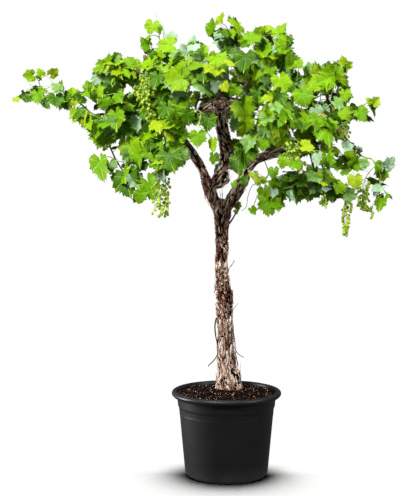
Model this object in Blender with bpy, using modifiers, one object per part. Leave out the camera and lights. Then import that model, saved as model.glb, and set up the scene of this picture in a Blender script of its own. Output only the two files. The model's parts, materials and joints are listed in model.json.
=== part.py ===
"""Potted grapevine: a black nursery pot of soil, an old trunk that forks, three boughs with
a knuckled head and arms, and the masses of foliage that they carry.

Metres, +Z up, +Y away from the front. The origin is the middle of the pot's flat underside.
"""

import math

import bmesh
import bpy
from mathutils import Vector, noise

# The pot: a moulded nursery container with a rolled lip
POT_HEIGHT = 0.368
LIP_RADIUS = 0.240
LIP_DEPTH = 0.034
MOUTH_RADIUS = 0.216
COLLAR_HEIGHT = 0.300
COLLAR_RADIUS = 0.2105
COLLAR_STEP = 0.003
BASE_RADIUS = 0.1825
BASE_CORNER = 0.016
WALL = 0.003
POT_STEPS = 36
CORNER_STEPS = 3

# The soil fills the pot to just under its mouth and rises round the trunk
SOIL_EDGE_HEIGHT = 0.357
SOIL_TOP_HEIGHT = 0.374
SOIL_TOP_RADIUS = 0.125
FIT_GAP = 0.0003
SOIL_SIDE_GAP = 0.0008

# The foliage: masses meet each other and the limbs with this much air between
MASS_GAP = 0.0004
UNEVENNESS = 0.16
LUMP_SIZE = 0.55

# Each limb runs smoothly through a few knots, (place of its middle, radius), from foot to tip
KNOTS = {
    "trunk": [
        ((0.010, 0.047, SOIL_TOP_HEIGHT + FIT_GAP), 0.058),
        ((0.003, 0.046, 0.450), 0.042),
        ((-0.006, 0.045, 0.590), 0.037),
        ((-0.012, 0.045, 0.765), 0.038),
        ((-0.023, 0.045, 0.880), 0.027),
        ((-0.021, 0.045, 1.040), 0.028),
        ((-0.021, 0.045, 1.160), 0.040),
        ((-0.027, 0.045, 1.217), 0.020),
    ],
    "left_bough": [
        ((-0.032, 0.045, 1.158), 0.024),
        ((-0.082, 0.040, 1.265), 0.026),
        ((-0.102, 0.033, 1.324), 0.019),
        ((-0.138, 0.022, 1.390), 0.020),
        ((-0.272, -0.018, 1.575), 0.010),
    ],
    "head_bough": [
        ((-0.080, 0.041, 1.252), 0.020),
        ((-0.040, 0.041, 1.290), 0.026),
        ((-0.012, 0.047, 1.355), 0.022),
        ((0.004, 0.052, 1.432), 0.023),
        ((-0.024, 0.052, 1.562), 0.025),
        ((-0.024, 0.050, 1.615), 0.037),
        ((-0.026, 0.050, 1.652), 0.018),
    ],
    "head_spur": [
        ((-0.030, 0.048, 1.612), 0.021),
        ((-0.075, 0.038, 1.604), 0.018),
        ((-0.132, 0.022, 1.583), 0.011),
    ],
    "head_burr": [
        ((-0.020, 0.050, 1.612), 0.022),
        ((0.020, 0.053, 1.602), 0.019),
        ((0.042, 0.055, 1.588), 0.007),
    ],
    "right_bough": [
        ((-0.012, 0.045, 1.150), 0.024),
        ((0.040, 0.040, 1.238), 0.022),
        ((0.088, 0.030, 1.330), 0.018),
        ((0.114, 0.024, 1.368), 0.019),
    ],
    "right_arm": [
        ((0.104, 0.026, 1.356), 0.0155),
        ((0.142, 0.017, 1.392), 0.018),
        ((0.215, 0.002, 1.414), 0.018),
        ((0.310, -0.018, 1.420), 0.013),
    ],
}
SPRINGS_FROM = {
    "left_bough": "trunk",
    "right_bough": "trunk",
    "right_arm": "right_bough",
    "head_bough": "left_bough",
    "head_spur": "head_bough",
    "head_burr": "head_bough",
}
STATION_STEP = 0.052
TRUNK_SIDES = 14
BOUGH_SIDES = 10
FLUTES = 5
FLUTE_DEPTH = 0.07

# Each mass of foliage: the place of its middle, and its half width, depth and height
MASSES = {
    "leaves_left_tip": ((-0.813, -0.050, 1.683), (0.108, 0.070, 0.086)),
    "leaves_left_shoot": ((-0.694, -0.040, 1.646), (0.069, 0.090, 0.073)),
    "leaves_left_upper": ((-0.500, 0.110, 1.749), (0.126, 0.185, 0.112)),
    "leaves_left_mid": ((-0.533, -0.050, 1.571), (0.138, 0.190, 0.125)),
    "leaves_left_low": ((-0.446, -0.020, 1.340), (0.143, 0.150, 0.152)),
    "leaves_left_front": ((-0.251, -0.260, 1.410), (0.110, 0.140, 0.135)),
    "leaves_left_heart": ((-0.271, -0.100, 1.642), (0.140, 0.185, 0.170)),
    "leaves_top_sprig": ((-0.288, 0.020, 1.881), (0.101, 0.090, 0.123)),
    "leaves_head_left": ((-0.121, 0.010, 1.787), (0.122, 0.180, 0.118)),
    "leaves_top": ((-0.012, 0.080, 1.919), (0.098, 0.150, 0.098)),
    "leaves_right_top": ((0.175, 0.060, 1.813), (0.133, 0.200, 0.155)),
    "leaves_right_inner": ((0.157, 0.060, 1.556), (0.115, 0.150, 0.151)),
    "leaves_right_crotch": ((0.073, 0.100, 1.417), (0.063, 0.080, 0.098)),
    "leaves_right_upper": ((0.404, 0.050, 1.705), (0.137, 0.190, 0.124)),
    "leaves_right_heart": ((0.376, -0.060, 1.484), (0.142, 0.190, 0.125)),
    "leaves_right_sprig": ((0.559, 0.020, 1.583), (0.105, 0.090, 0.070)),
    "leaves_right_reach": ((0.565, -0.030, 1.387), (0.100, 0.130, 0.113)),
    "leaves_right_tip": ((0.670, -0.020, 1.270), (0.056, 0.070, 0.126)),
    "leaves_right_under": ((0.364, -0.090, 1.268), (0.141, 0.150, 0.102)),
    "leaves_right_hang": ((0.188, -0.120, 1.233), (0.059, 0.090, 0.097)),
    "leaves_front": ((-0.083, -0.290, 1.716), (0.150, 0.150, 0.109)),
    "leaves_front_right": ((0.174, -0.240, 1.535), (0.127, 0.150, 0.127)),
    "leaves_back_left": ((-0.373, 0.350, 1.608), (0.214, 0.190, 0.190)),
    "leaves_back": ((-0.022, 0.380, 1.750), (0.205, 0.190, 0.158)),
    "leaves_back_right": ((0.340, 0.360, 1.614), (0.224, 0.200, 0.190)),
}
SMALL_MASS = 0.124


def clear_scene():
    for obj in list(bpy.data.objects):
        bpy.data.objects.remove(obj)


def new_collection(name):
    collection = bpy.data.collections.new(name)
    bpy.context.scene.collection.children.link(collection)
    return collection


def finish(name, colour, roughness, metallic=0.0):
    """A plain material, a Principled BSDF with the part's colour, roughness and metallic value."""
    material = bpy.data.materials.new(name)
    material.use_nodes = True
    shader = material.node_tree.nodes["Principled BSDF"]
    shader.inputs["Base Color"].default_value = (*colour, 1.0)
    shader.inputs["Roughness"].default_value = roughness
    shader.inputs["Metallic"].default_value = metallic
    return material


def new_object(name, mesh, collection, material):
    obj = bpy.data.objects.new(name, mesh)
    mesh.materials.append(material)
    collection.objects.link(obj)
    return obj


def mesh_from(name, bm):
    bmesh.ops.recalc_face_normals(bm, faces=bm.faces)
    mesh = bpy.data.meshes.new(name)
    bm.to_mesh(mesh)
    bm.free()
    return mesh


def turned(name, profile, collection, material):
    """A profile of (radius, height) points turned once round Z."""
    mesh = bpy.data.meshes.new(name)
    points = [(radius, 0.0, height) for radius, height in profile]
    mesh.from_pydata(points, [(i, i + 1) for i in range(len(points) - 1)], [])
    obj = new_object(name, mesh, collection, material)
    screw = obj.modifiers.new("turn", "SCREW")
    screw.steps = POT_STEPS
    screw.render_steps = POT_STEPS
    screw.use_merge_vertices = True
    screw.merge_threshold = 0.00005
    return obj


def base_corner(middle_radius, middle_height, corner_radius):
    """The rounded corner where a side wall, coming down, turns into the underside."""
    turns = [math.pi / 2 * step / CORNER_STEPS for step in range(CORNER_STEPS + 1)]
    return [
        (
            middle_radius + corner_radius * math.cos(turn),
            middle_height - corner_radius * math.sin(turn),
        )
        for turn in turns
    ]


def make_pot(collection):
    """The moulded wall: rolled lip, collar, step, tapering side, rounded corner, flat underside."""
    lip_bottom = POT_HEIGHT - LIP_DEPTH
    lip_round = 0.007
    profile = [
        (LIP_RADIUS - WALL - 0.001, lip_bottom),
        (LIP_RADIUS - WALL, POT_HEIGHT - lip_round),
        (LIP_RADIUS - lip_round, POT_HEIGHT - WALL),
        (MOUTH_RADIUS + WALL, POT_HEIGHT - WALL),
        (COLLAR_RADIUS + 0.003, lip_bottom),
        (COLLAR_RADIUS, COLLAR_HEIGHT),
        (COLLAR_RADIUS - COLLAR_STEP, COLLAR_HEIGHT - COLLAR_STEP),
        *base_corner(BASE_RADIUS - BASE_CORNER, BASE_CORNER, BASE_CORNER),
        (0.0, 0.0),
    ]
    black_plastic = finish("black moulded polypropylene", (0.012, 0.012, 0.013), 0.42)
    pot = turned("pot", profile, collection, black_plastic)
    shell = pot.modifiers.new("wall", "SOLIDIFY")
    shell.thickness = WALL
    shell.offset = -1.0
    shell.use_even_offset = True
    return pot


def make_soil(collection):
    """The root ball and soil, shaped by the inside of the pot, with a low mound under the trunk."""
    inset = WALL + SOIL_SIDE_GAP
    floor = WALL + FIT_GAP
    corner = BASE_CORNER - WALL
    profile = [
        (0.0, SOIL_TOP_HEIGHT),
        (SOIL_TOP_RADIUS, SOIL_TOP_HEIGHT),
        (0.165, SOIL_TOP_HEIGHT - 0.007),
        (COLLAR_RADIUS + 0.0045 - inset, SOIL_EDGE_HEIGHT),
        (COLLAR_RADIUS - inset, COLLAR_HEIGHT + COLLAR_STEP),
        (COLLAR_RADIUS - COLLAR_STEP - inset, COLLAR_HEIGHT - COLLAR_STEP),
        *base_corner(BASE_RADIUS - inset - corner, floor + corner, corner),
        (0.0, floor),
    ]
    compost = finish("bark compost", (0.055, 0.028, 0.018), 0.9)
    return turned("soil", profile, collection, compost)


def ring(bm, middle, across, upright, radius, sides, turn):
    """One station of a limb: a closed loop of points with shallow flutes."""
    verts = []
    for side in range(sides):
        angle = 2 * math.pi * side / sides
        reach = radius * (1 + FLUTE_DEPTH * math.cos(FLUTES * angle + turn))
        out = across * math.cos(angle) + upright * math.sin(angle)
        verts.append(bm.verts.new(middle + out * reach))
    return verts


def between(before, start, end, after, share):
    """A smooth value part of the way from start to end, given the values on either side."""
    slope_out = (end - before) / 2
    slope_in = (after - start) / 2
    turn = share * share * (3 - 2 * share)
    leaving = slope_out * (share * (1 - share) ** 2)
    arriving = slope_in * (share * share * (1 - share))
    return start + (end - start) * turn + leaving - arriving


def stations_of(knots):
    """Evenly spaced (place, radius) stations along the smooth line through a limb's knots."""
    places = [Vector(place) for place, _ in knots]
    radii = [radius for _, radius in knots]
    last = len(knots) - 1
    stations = []
    for index in range(last):
        span = [max(index - 1, 0), index, index + 1, min(index + 2, last)]
        steps = max(1, round((places[index + 1] - places[index]).length / STATION_STEP))
        for step in range(steps):
            place = between(*(places[knot] for knot in span), step / steps)
            radius = between(*(radii[knot] for knot in span), step / steps)
            stations.append((place, radius))
    stations.append((places[last], radii[last]))
    return stations


def facings(stations):
    """The way that each station of a limb faces, from the station before it to the one after."""
    places = [place for place, _ in stations]
    ways = []
    for index in range(len(places)):
        before = places[max(index - 1, 0)]
        after = places[min(index + 1, len(places) - 1)]
        ways.append((after - before).normalized())
    if stations[0][0].z < POT_HEIGHT + LIP_DEPTH:
        ways[0] = Vector((0, 0, 1))
    return ways


def limb_mesh(name, stations, sides, grow=0.0):
    """A tapering limb lofted through its stations, flat at both ends, larger all over by grow."""
    bm = bmesh.new()
    across = Vector((1, 0, 0))
    rings = []
    for (place, radius), along in zip(stations, facings(stations)):
        turn = noise.noise(place * 6.0) * 3.0
        across = (across - along * across.dot(along)).normalized()
        upright = along.cross(across)
        middle = place
        if place == stations[-1][0]:
            middle = place + along * grow
        rings.append(ring(bm, middle, across, upright, radius + grow, sides, turn))
    for lower, upper in zip(rings, rings[1:]):
        for side in range(sides):
            beside = (side + 1) % sides
            bm.faces.new((lower[side], lower[beside], upper[beside], upper[side]))
    bm.faces.new(list(reversed(rings[0])))
    bm.faces.new(rings[-1])
    bmesh.ops.triangulate(bm, faces=bm.faces)
    return mesh_from(name, bm)


def sides_of(limb):
    return TRUNK_SIDES if limb == "trunk" else BOUGH_SIDES


def make_limbs(limbs, collection, cutters):
    """Trunk, boughs, head and arm, each cut to fit the outside of the one that it springs from."""
    bark = finish("shaggy vine bark", (0.13, 0.085, 0.055), 0.85)
    for name, stations in limbs.items():
        limb = new_object(name, limb_mesh(name, stations, sides_of(name)), collection, bark)
        if name not in SPRINGS_FROM:
            continue
        parent = SPRINGS_FROM[name]
        seat_mesh = limb_mesh(parent + "_seat", limbs[parent], sides_of(parent), grow=FIT_GAP)
        seat = new_object(f"{parent}_seat_for_{name}", seat_mesh, cutters, bark)
        seat.hide_render = True
        seat.display_type = "WIRE"
        cut = limb.modifiers.new("seat", "BOOLEAN")
        cut.operation = "DIFFERENCE"
        cut.object = seat


def reach_along(radii, way):
    """How far a mass's ellipsoid reaches along a direction, to its furthest tangent plane."""
    return math.sqrt(sum((size * part) ** 2 for size, part in zip(radii, way)))


def planes_from_masses(name):
    """The flat limits halfway through each overlap with a neighbouring mass: (normal, distance)."""
    centre, radii = MASSES[name]
    centre = Vector(centre)
    planes = []
    for other, (other_centre, other_radii) in MASSES.items():
        if other == name:
            continue
        apart = Vector(other_centre) - centre
        way = apart.normalized()
        own_reach = reach_along(radii, way)
        other_reach = reach_along(other_radii, way)
        halfway = (own_reach + apart.length - other_reach) / 2
        planes.append((way, halfway - MASS_GAP / 2))
    return planes


def nearest_on(start, end, point):
    along = end - start
    share = (point - start).dot(along) / along.length_squared
    return start + along * min(max(share, 0.0), 1.0)


def planes_from_limbs(name, limbs):
    """The flat limits that keep a mass clear of every limb, one for each stretch of limb."""
    centre = Vector(MASSES[name][0])
    planes = []
    for stations in limbs.values():
        discs = [
            (place, facing, radius * (1 + FLUTE_DEPTH))
            for (place, radius), facing in zip(stations, facings(stations))
        ]
        for lower, upper in zip(discs, discs[1:]):
            way = (nearest_on(lower[0], upper[0], centre) - centre).normalized()
            distance = min(
                (middle - centre).dot(way) - radius * math.sqrt(max(0.0, 1 - way.dot(facing) ** 2))
                for middle, facing, radius in (lower, upper)
            )
            planes.append((way, distance - MASS_GAP))
    return planes


def mass_mesh(name, seed, limbs):
    """A closed, uneven solid of leaves: an ellipsoid with lumps, flattened where it meets others."""
    centre, radii = MASSES[name]
    centre = Vector(centre)
    planes = planes_from_masses(name) + planes_from_limbs(name, limbs)
    tightest = min(distance for _, distance in planes)
    if tightest <= 0.005:
        raise ValueError(f"{name} has its middle in a neighbour: {tightest:.3f}")
    bm = bmesh.new()
    detail = 2 if max(radii[0], radii[2]) < SMALL_MASS else 3
    bmesh.ops.create_icosphere(bm, subdivisions=detail, radius=1.0)
    for vert in bm.verts:
        way = Vector(part * size for part, size in zip(vert.co, radii))
        reach = way.length
        way.normalize()
        lumps = noise.noise(way / LUMP_SIZE + Vector((seed * 7.3, seed * 1.9, seed * 4.1)))
        reach *= 1 + UNEVENNESS * 2 * lumps
        for normal, distance in planes:
            slant = way.dot(normal)
            if slant > 1e-6:
                reach = min(reach, distance / slant)
        vert.co = centre + way * reach
    return mesh_from(name, bm)


def make_masses(limbs, collection):
    foliage = finish("vine foliage", (0.16, 0.34, 0.03), 0.6)
    for seed, name in enumerate(MASSES):
        new_object(name, mass_mesh(name, seed, limbs), collection, foliage)


def main():
    clear_scene()
    vine = new_collection("potted_grapevine")
    cutters = new_collection("cutters")
    make_pot(vine)
    make_soil(vine)
    limbs = {name: stations_of(knots) for name, knots in KNOTS.items()}
    make_limbs(limbs, vine, cutters)
    make_masses(limbs, vine)


main()
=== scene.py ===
import json
import math
import random

import bmesh
import bpy
import numpy as np
from mathutils import Matrix, Vector, noise

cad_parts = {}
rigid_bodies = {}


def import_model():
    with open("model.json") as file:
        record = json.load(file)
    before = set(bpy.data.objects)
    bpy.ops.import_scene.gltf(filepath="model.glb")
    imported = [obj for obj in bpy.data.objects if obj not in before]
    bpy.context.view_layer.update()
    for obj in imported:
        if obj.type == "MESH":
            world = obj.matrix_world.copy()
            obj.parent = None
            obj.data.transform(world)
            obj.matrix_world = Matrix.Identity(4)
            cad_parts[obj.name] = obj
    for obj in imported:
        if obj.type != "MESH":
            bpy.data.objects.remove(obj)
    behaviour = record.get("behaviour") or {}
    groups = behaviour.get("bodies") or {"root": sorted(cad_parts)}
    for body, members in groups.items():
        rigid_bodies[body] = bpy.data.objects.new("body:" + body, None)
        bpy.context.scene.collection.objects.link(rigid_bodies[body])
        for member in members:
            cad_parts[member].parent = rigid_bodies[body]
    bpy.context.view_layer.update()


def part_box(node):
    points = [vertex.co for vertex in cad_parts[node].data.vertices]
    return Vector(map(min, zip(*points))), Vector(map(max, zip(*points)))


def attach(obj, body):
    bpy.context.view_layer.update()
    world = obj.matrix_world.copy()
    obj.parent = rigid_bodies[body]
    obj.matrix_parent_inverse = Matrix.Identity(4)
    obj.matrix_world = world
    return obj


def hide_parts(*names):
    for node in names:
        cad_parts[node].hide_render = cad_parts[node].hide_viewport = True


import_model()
print("frame loaded")


# Small helpers

def linearColour(hexCode):
    channels = [int(hexCode[start:start + 2], 16) / 255 for start in (1, 3, 5)]
    return [c / 12.92 if c <= 0.04045 else ((c + 0.055) / 1.055) ** 2.4 for c in channels] + [1.0]


def addNode(tree, kind, settings=None, links=None):
    node = tree.nodes.new(kind)
    for name, value in (settings or {}).items():
        if isinstance(name, int) or name in node.inputs:
            node.inputs[name].default_value = value
        else:
            setattr(node, name, value)
    for name, socket in (links or {}).items():
        tree.links.new(socket, node.inputs[name])
    return node


def newMaterial(name, settings):
    material = bpy.data.materials.new(name)
    material.use_nodes = True
    material.node_tree.nodes.clear()
    shader = addNode(material.node_tree, "ShaderNodeBsdfPrincipled", settings)
    addNode(material.node_tree, "ShaderNodeOutputMaterial", None, {"Surface": shader.outputs[0]})
    return material, material.node_tree, shader


def newTree(name, sockets):
    tree = bpy.data.node_groups.new(name, "GeometryNodeTree")
    tree.interface.new_socket("Geometry", in_out="INPUT", socket_type="NodeSocketGeometry")
    for socketName, socketType, default in sockets:
        socket = tree.interface.new_socket(socketName, in_out="INPUT", socket_type=socketType)
        if default is not None:
            socket.default_value = default
    tree.interface.new_socket("Geometry", in_out="OUTPUT", socket_type="NodeSocketGeometry")
    return tree, tree.nodes.new("NodeGroupInput")


def meshObject(name, points, edges, faces, smooth=True):
    mesh = bpy.data.meshes.new(name)
    mesh.from_pydata([tuple(p) for p in points], edges, faces, shade_flat=not smooth)
    obj = bpy.data.objects.new(name, mesh)
    bpy.context.scene.collection.objects.link(obj)
    return obj


def addAttribute(mesh, name, kind, values):
    attribute = mesh.attributes.new(name, kind, "POINT")
    field = {"FLOAT_VECTOR": "vector"}.get(kind, "value")
    attribute.data.foreach_set(field, np.asarray(values, dtype=np.float32 if kind != "INT" else np.int32).ravel())


def grown(obj, tree, values, keep=()):
    # Runs a geometry tree on an object and leaves its result as a plain mesh
    modifier = obj.modifiers.new(tree.name, "NODES")
    modifier.node_group = tree
    identifiers = {item.name: item.identifier for item in tree.interface.items_tree if item.in_out == "INPUT"}
    for name, value in values.items():
        modifier[identifiers[name]] = value
    bpy.context.view_layer.update()
    evaluated = obj.evaluated_get(bpy.context.evaluated_depsgraph_get())
    result = bpy.data.meshes.new_from_object(evaluated)
    obj.modifiers.remove(modifier)
    before = obj.data
    result.name = obj.name
    obj.data = result
    bpy.data.meshes.remove(before)
    for attribute in [a.name for a in result.attributes]:
        if attribute.startswith(("leaf", "cane", "chip", "berry", "strip")) and attribute not in keep:
            result.attributes.remove(result.attributes[attribute])
    return obj


def hiddenCollection(name, objects):
    collection = bpy.data.collections.new(name)
    for obj in objects:
        for home in list(obj.users_collection):
            home.objects.unlink(obj)
        collection.objects.link(obj)
    return collection


def dropCollection(collection):
    for obj in list(collection.objects):
        bpy.data.objects.remove(obj)
    bpy.data.collections.remove(collection)


def settle(obj, slotName, *nodes):
    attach(obj, "root")
    if nodes:
        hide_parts(*nodes)
    print(f"  {obj.name}: {sum(len(p.vertices) - 2 for p in obj.data.polygons)} triangles")
    return obj


# Camera at the photo's angle: 4 m away at chest height, turned a little left and down
view = {
    "distance": 4.015,
    "height": 1.153,
    "turnLeft": 1.594,
    "tiltDown": 2.303,
    "lens": 66.77,
}


def makeCamera():
    data = bpy.data.cameras.new("camera")
    data.lens = view["lens"]
    data.sensor_width = 36
    data.clip_end = 60
    camera = bpy.data.objects.new("camera", data)
    bpy.context.scene.collection.objects.link(camera)
    camera.location = (0, -view["distance"], view["height"])
    camera.rotation_euler = (math.radians(90 - view["tiltDown"]), 0, math.radians(view["turnLeft"]))
    bpy.context.scene.camera = camera


# Light: a dim white room, a broad key from the upper left, a soft box overhead and a strip on each side
studio = {
    "room": 0.135,
    "lamps": {
        "key": {"place": (-2.0, -3.6, 4.1), "aim": (0, 0, 1.3), "size": 1.1, "power": 310},
        "overhead": {"place": (0.3, -0.8, 5.0), "aim": (0, 0, 1.3), "size": 2.4, "power": 62},
        "rightStrip": {"place": (3.2, -2.0, 2.2), "aim": (0.3, 0, 1.3), "size": 1.2, "power": 80},
        "potStrip": {"place": (-1.9, 0.1, 0.45), "aim": (0, 0, 0.2), "size": 0.5, "power": 44},
    },
    "floorColour": "#F7F7F6",
    "floorGlow": 1.1,
}


def makeStudio():
    scene = bpy.context.scene
    scene.view_settings.view_transform = "Standard"
    world = bpy.data.worlds.new("white room")
    scene.world = world
    world.use_nodes = True
    world.node_tree.nodes.clear()
    # What the camera sees behind the plant is full white; the light that the room gives is a little less
    path = addNode(world.node_tree, "ShaderNodeLightPath")
    dim = addNode(world.node_tree, "ShaderNodeBackground", {"Color": (1, 1, 1, 1), "Strength": studio["room"]})
    full = addNode(world.node_tree, "ShaderNodeBackground", {"Color": (1, 1, 1, 1), "Strength": 1.02})
    mix = addNode(world.node_tree, "ShaderNodeMixShader", None, {
        0: path.outputs["Is Camera Ray"], 1: dim.outputs[0], 2: full.outputs[0]})
    addNode(world.node_tree, "ShaderNodeOutputWorld", None, {"Surface": mix.outputs[0]})
    for name, facts in studio["lamps"].items():
        data = bpy.data.lights.new(name, "AREA")
        data.shape = "DISK"
        data.size = facts["size"]
        data.energy = facts["power"]
        lamp = bpy.data.objects.new(name, data)
        lamp.location = facts["place"]
        aim = Vector(facts["aim"]) - Vector(facts["place"])
        lamp.rotation_euler = aim.to_track_quat("-Z", "Y").to_euler()
        scene.collection.objects.link(lamp)
    # paper that glows evenly white; close round whatever stands on it, ambient occlusion dims the glow as a painted
    # contact shadow
    paper, tree, shader = newMaterial("matt white paper sweep", {
        "Base Color": (0, 0, 0, 1), "Roughness": 0.95, "Specular IOR Level": 0.0,
        "Emission Strength": studio["floorGlow"]})
    paintedShadowAO = addNode(tree, "ShaderNodeAmbientOcclusion", {"Distance": 0.42, "samples": 12})
    open_ = addNode(tree, "ShaderNodeMapRange", {"From Min": 0.55, "From Max": 0.87, "To Min": 0.0, "To Max": 1.0,
                                                 "interpolation_type": "SMOOTHSTEP"}, {"Value": paintedShadowAO.outputs["AO"]})
    # the painted contact shadow is faded out behind the pot, so it lies towards the camera
    spot = addNode(tree, "ShaderNodeTexCoord")
    where = addNode(tree, "ShaderNodeSeparateXYZ", None, {0: spot.outputs["Object"]})
    behind = addNode(tree, "ShaderNodeMapRange", {"From Min": -0.03, "From Max": 0.17, "To Min": 0.0, "To Max": 0.8},
                     {"Value": where.outputs["Y"]})
    paintedShadowLevel = addNode(tree, "ShaderNodeMath", {"operation": "ADD", "use_clamp": True}, {0: open_.outputs[0], 1: behind.outputs[0]})
    dim = addNode(tree, "ShaderNodeVectorMath", {"operation": "SCALE", 0: linearColour(studio["floorColour"])[:3]},
                  {"Scale": paintedShadowLevel.outputs[0]})
    tree.links.new(dim.outputs[0], shader.inputs["Emission Color"])
    floor = meshObject("floor", [(-14, -9, 0), (14, -9, 0), (14, 16, 0), (-14, 16, 0)], [], [(0, 1, 2, 3)])
    floor.data.materials.append(paper)
    # the glow of the paper is for the backdrop, not for the plant
    floor.visible_diffuse = False
    floor.visible_glossy = False


makeCamera()
makeStudio()
print("camera, light and floor made")


# Pot: moulded polypropylene, so a dark satin skin with a broad soft shine and faint flow marks
pot = {
    "height": 0.368,
    "lipRadius": 0.240,
    "lipDepth": 0.029,
    "mouthRadius": 0.2185,
    "collarRadius": 0.2160,
    "stepHeight": 0.300,
    "baseRadius": 0.1825,
    "corner": 0.016,
    "wall": 0.003,
    "sides": 112,
    "colour": "#151516",
    "dust": "#4A4644",
}


def roundedTurn(middle, radius, start, end, steps):
    turns = [math.radians(start + (end - start) * i / steps) for i in range(steps + 1)]
    return [(middle[0] + radius * math.cos(t), middle[1] + radius * math.sin(t)) for t in turns]


def potProfile():
    # From the mouth over the rolled lip, down the outside and across the underside, then up the inside
    top = pot["height"]
    roll = 0.0120
    lipFoot = top - pot["lipDepth"]
    body = pot["collarRadius"]
    outside = [(pot["mouthRadius"], top - 0.007), (pot["mouthRadius"] + 0.0012, top - 0.0030)]
    outside += [(pot["mouthRadius"] + 0.0045, top - 0.0006), (pot["mouthRadius"] + 0.010, top)]
    outside += roundedTurn((pot["lipRadius"] - roll, top - roll), roll, 88, -28, 9)
    outside += [(pot["lipRadius"] - 0.0060, lipFoot + 0.0060), (pot["lipRadius"] - 0.0120, lipFoot + 0.0015)]
    outside += roundedTurn((pot["lipRadius"] - 0.0165, lipFoot + 0.0030), 0.0026, -50, -140, 4)
    outside += [(body + 0.0035, lipFoot + 0.0060), (body + 0.0008, lipFoot + 0.0030), (body, lipFoot - 0.002)]
    step = pot["stepHeight"]
    slope = (0.2085 - pot["baseRadius"]) / (step - pot["corner"])
    outside += [(0.2128, step + 0.006), (0.2124, step + 0.002), (0.2096, step - 0.002), (0.2086, step - 0.007)]
    for height in (0.272, 0.2685, 0.2660, 0.2635, 0.2600):
        ring = 0.0009 * math.exp(-((height - 0.266) / 0.002) ** 2)
        outside.append((0.2085 - slope * (step - height) + ring, height))
    outside += [(0.2085 - slope * (step - z), z) for z in (0.22, 0.16, 0.10, 0.05)]
    outside += roundedTurn((pot["baseRadius"] - pot["corner"], pot["corner"]), pot["corner"], 0, -84, 7)
    outside += [(pot["baseRadius"] - pot["corner"] - 0.004, 0.0), (0.10, 0.0), (0.03, 0.0)]
    wall = pot["wall"]
    inside = [(0.03, wall), (0.10, wall), (pot["baseRadius"] - 0.014, wall), (pot["baseRadius"] - wall, 0.018)]
    inside += [(0.2085 - slope * (step - z) - wall, z) for z in (0.05, 0.16, 0.26)]
    inside += [(0.2066, step - 0.004), (0.2096, step + 0.006), (body - 0.0020, lipFoot)]
    return outside + inside


def makePot():
    profile = potProfile()
    sides = pot["sides"]
    points, faces = [], []
    for radius, height in profile:
        for side in range(sides):
            turn = 2 * math.pi * side / sides
            # a thin wall is never quite round: it bellies a fraction of a millimetre as it cools
            belly = 1 + 0.0012 * math.sin(2 * turn + 0.7) * min(1, height / 0.3)
            points.append((radius * belly * math.cos(turn), radius * belly * math.sin(turn), height))
    for row in range(len(profile)):
        below = (row + 1) % len(profile)
        if profile[row][0] == 0.03 and profile[below][0] == 0.03:
            continue
        for side in range(sides):
            beside = (side + 1) % sides
            faces.append((row * sides + side, below * sides + side, below * sides + beside, row * sides + beside))
    underRow = profile.index((0.03, 0.0))
    insideRow = profile.index((0.03, pot["wall"]))
    points += [(0, 0, 0), (0, 0, pot["wall"])]
    for side in range(sides):
        beside = (side + 1) % sides
        faces.append((underRow * sides + side, len(points) - 2, underRow * sides + beside))
        faces.append((insideRow * sides + beside, len(points) - 1, insideRow * sides + side))
    obj = meshObject("nurseryPot", points, [], faces)
    bm = bmesh.new()
    bm.from_mesh(obj.data)
    bmesh.ops.recalc_face_normals(bm, faces=bm.faces)
    bm.to_mesh(obj.data)
    bm.free()

    plastic, tree, shader = newMaterial("moulded black polypropylene", {"IOR": 1.49, "Specular IOR Level": 0.32})
    place = addNode(tree, "ShaderNodeTexCoord")
    height = addNode(tree, "ShaderNodeSeparateXYZ", None, {0: place.outputs["Object"]})
    # flow marks from the mould run round the pot: 60 mm long and 4 mm tall
    flowPlace = addNode(tree, "ShaderNodeMapping", {"Scale": (16, 16, 240)}, {"Vector": place.outputs["Object"]})
    flow = addNode(tree, "ShaderNodeTexNoise", {"Scale": 1.0, "Detail": 3.0}, {"Vector": flowPlace.outputs[0]})
    cloud = addNode(tree, "ShaderNodeTexNoise", {"Scale": 9.0, "Detail": 4.0}, {"Vector": place.outputs["Object"]})
    # dust clings near the floor, and the top of the lip is drawn lighter in the same colour
    low = addNode(tree, "ShaderNodeMapRange", {"From Min": 0.07, "From Max": 0.0, "To Min": 0.0, "To Max": 0.55},
                  {"Value": height.outputs["Z"]})
    high = addNode(tree, "ShaderNodeMapRange", {"From Min": 0.352, "From Max": 0.368, "To Min": 0.0, "To Max": 0.45},
                   {"Value": height.outputs["Z"]})
    both = addNode(tree, "ShaderNodeMath", {"operation": "ADD"}, {0: low.outputs[0], 1: high.outputs[0]})
    dustAndPaleLip = addNode(tree, "ShaderNodeMath", {"operation": "MULTIPLY"}, {0: both.outputs[0], 1: cloud.outputs[0]})
    coat = addNode(tree, "ShaderNodeMix", {"data_type": "RGBA", 6: linearColour(pot["colour"]),
                                           7: linearColour(pot["dust"])}, {0: dustAndPaleLip.outputs[0]})
    tree.links.new(coat.outputs[2], shader.inputs["Base Color"])
    shine = addNode(tree, "ShaderNodeMapRange", {"From Min": 0.3, "From Max": 0.7, "To Min": 0.36, "To Max": 0.50},
                    {"Value": cloud.outputs[0]})
    tree.links.new(shine.outputs[0], shader.inputs["Roughness"])
    # the skin has a 0.8 mm orange peel, drawn at 2 mm to show
    peel = addNode(tree, "ShaderNodeTexNoise", {"Scale": 480.0, "Detail": 2.0}, {"Vector": place.outputs["Object"]})
    relief = addNode(tree, "ShaderNodeMath", {"operation": "MULTIPLY_ADD", 1: 0.35}, {
        0: peel.outputs[0], 2: flow.outputs[0]})
    bump = addNode(tree, "ShaderNodeBump", {"Strength": 0.35, "Distance": 0.0006}, {"Height": relief.outputs[0]})
    tree.links.new(bump.outputs[0], shader.inputs["Normal"])
    obj.data.materials.append(plastic)
    settle(obj, "pot", "pot")


makePot()
print("pot made")


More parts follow.
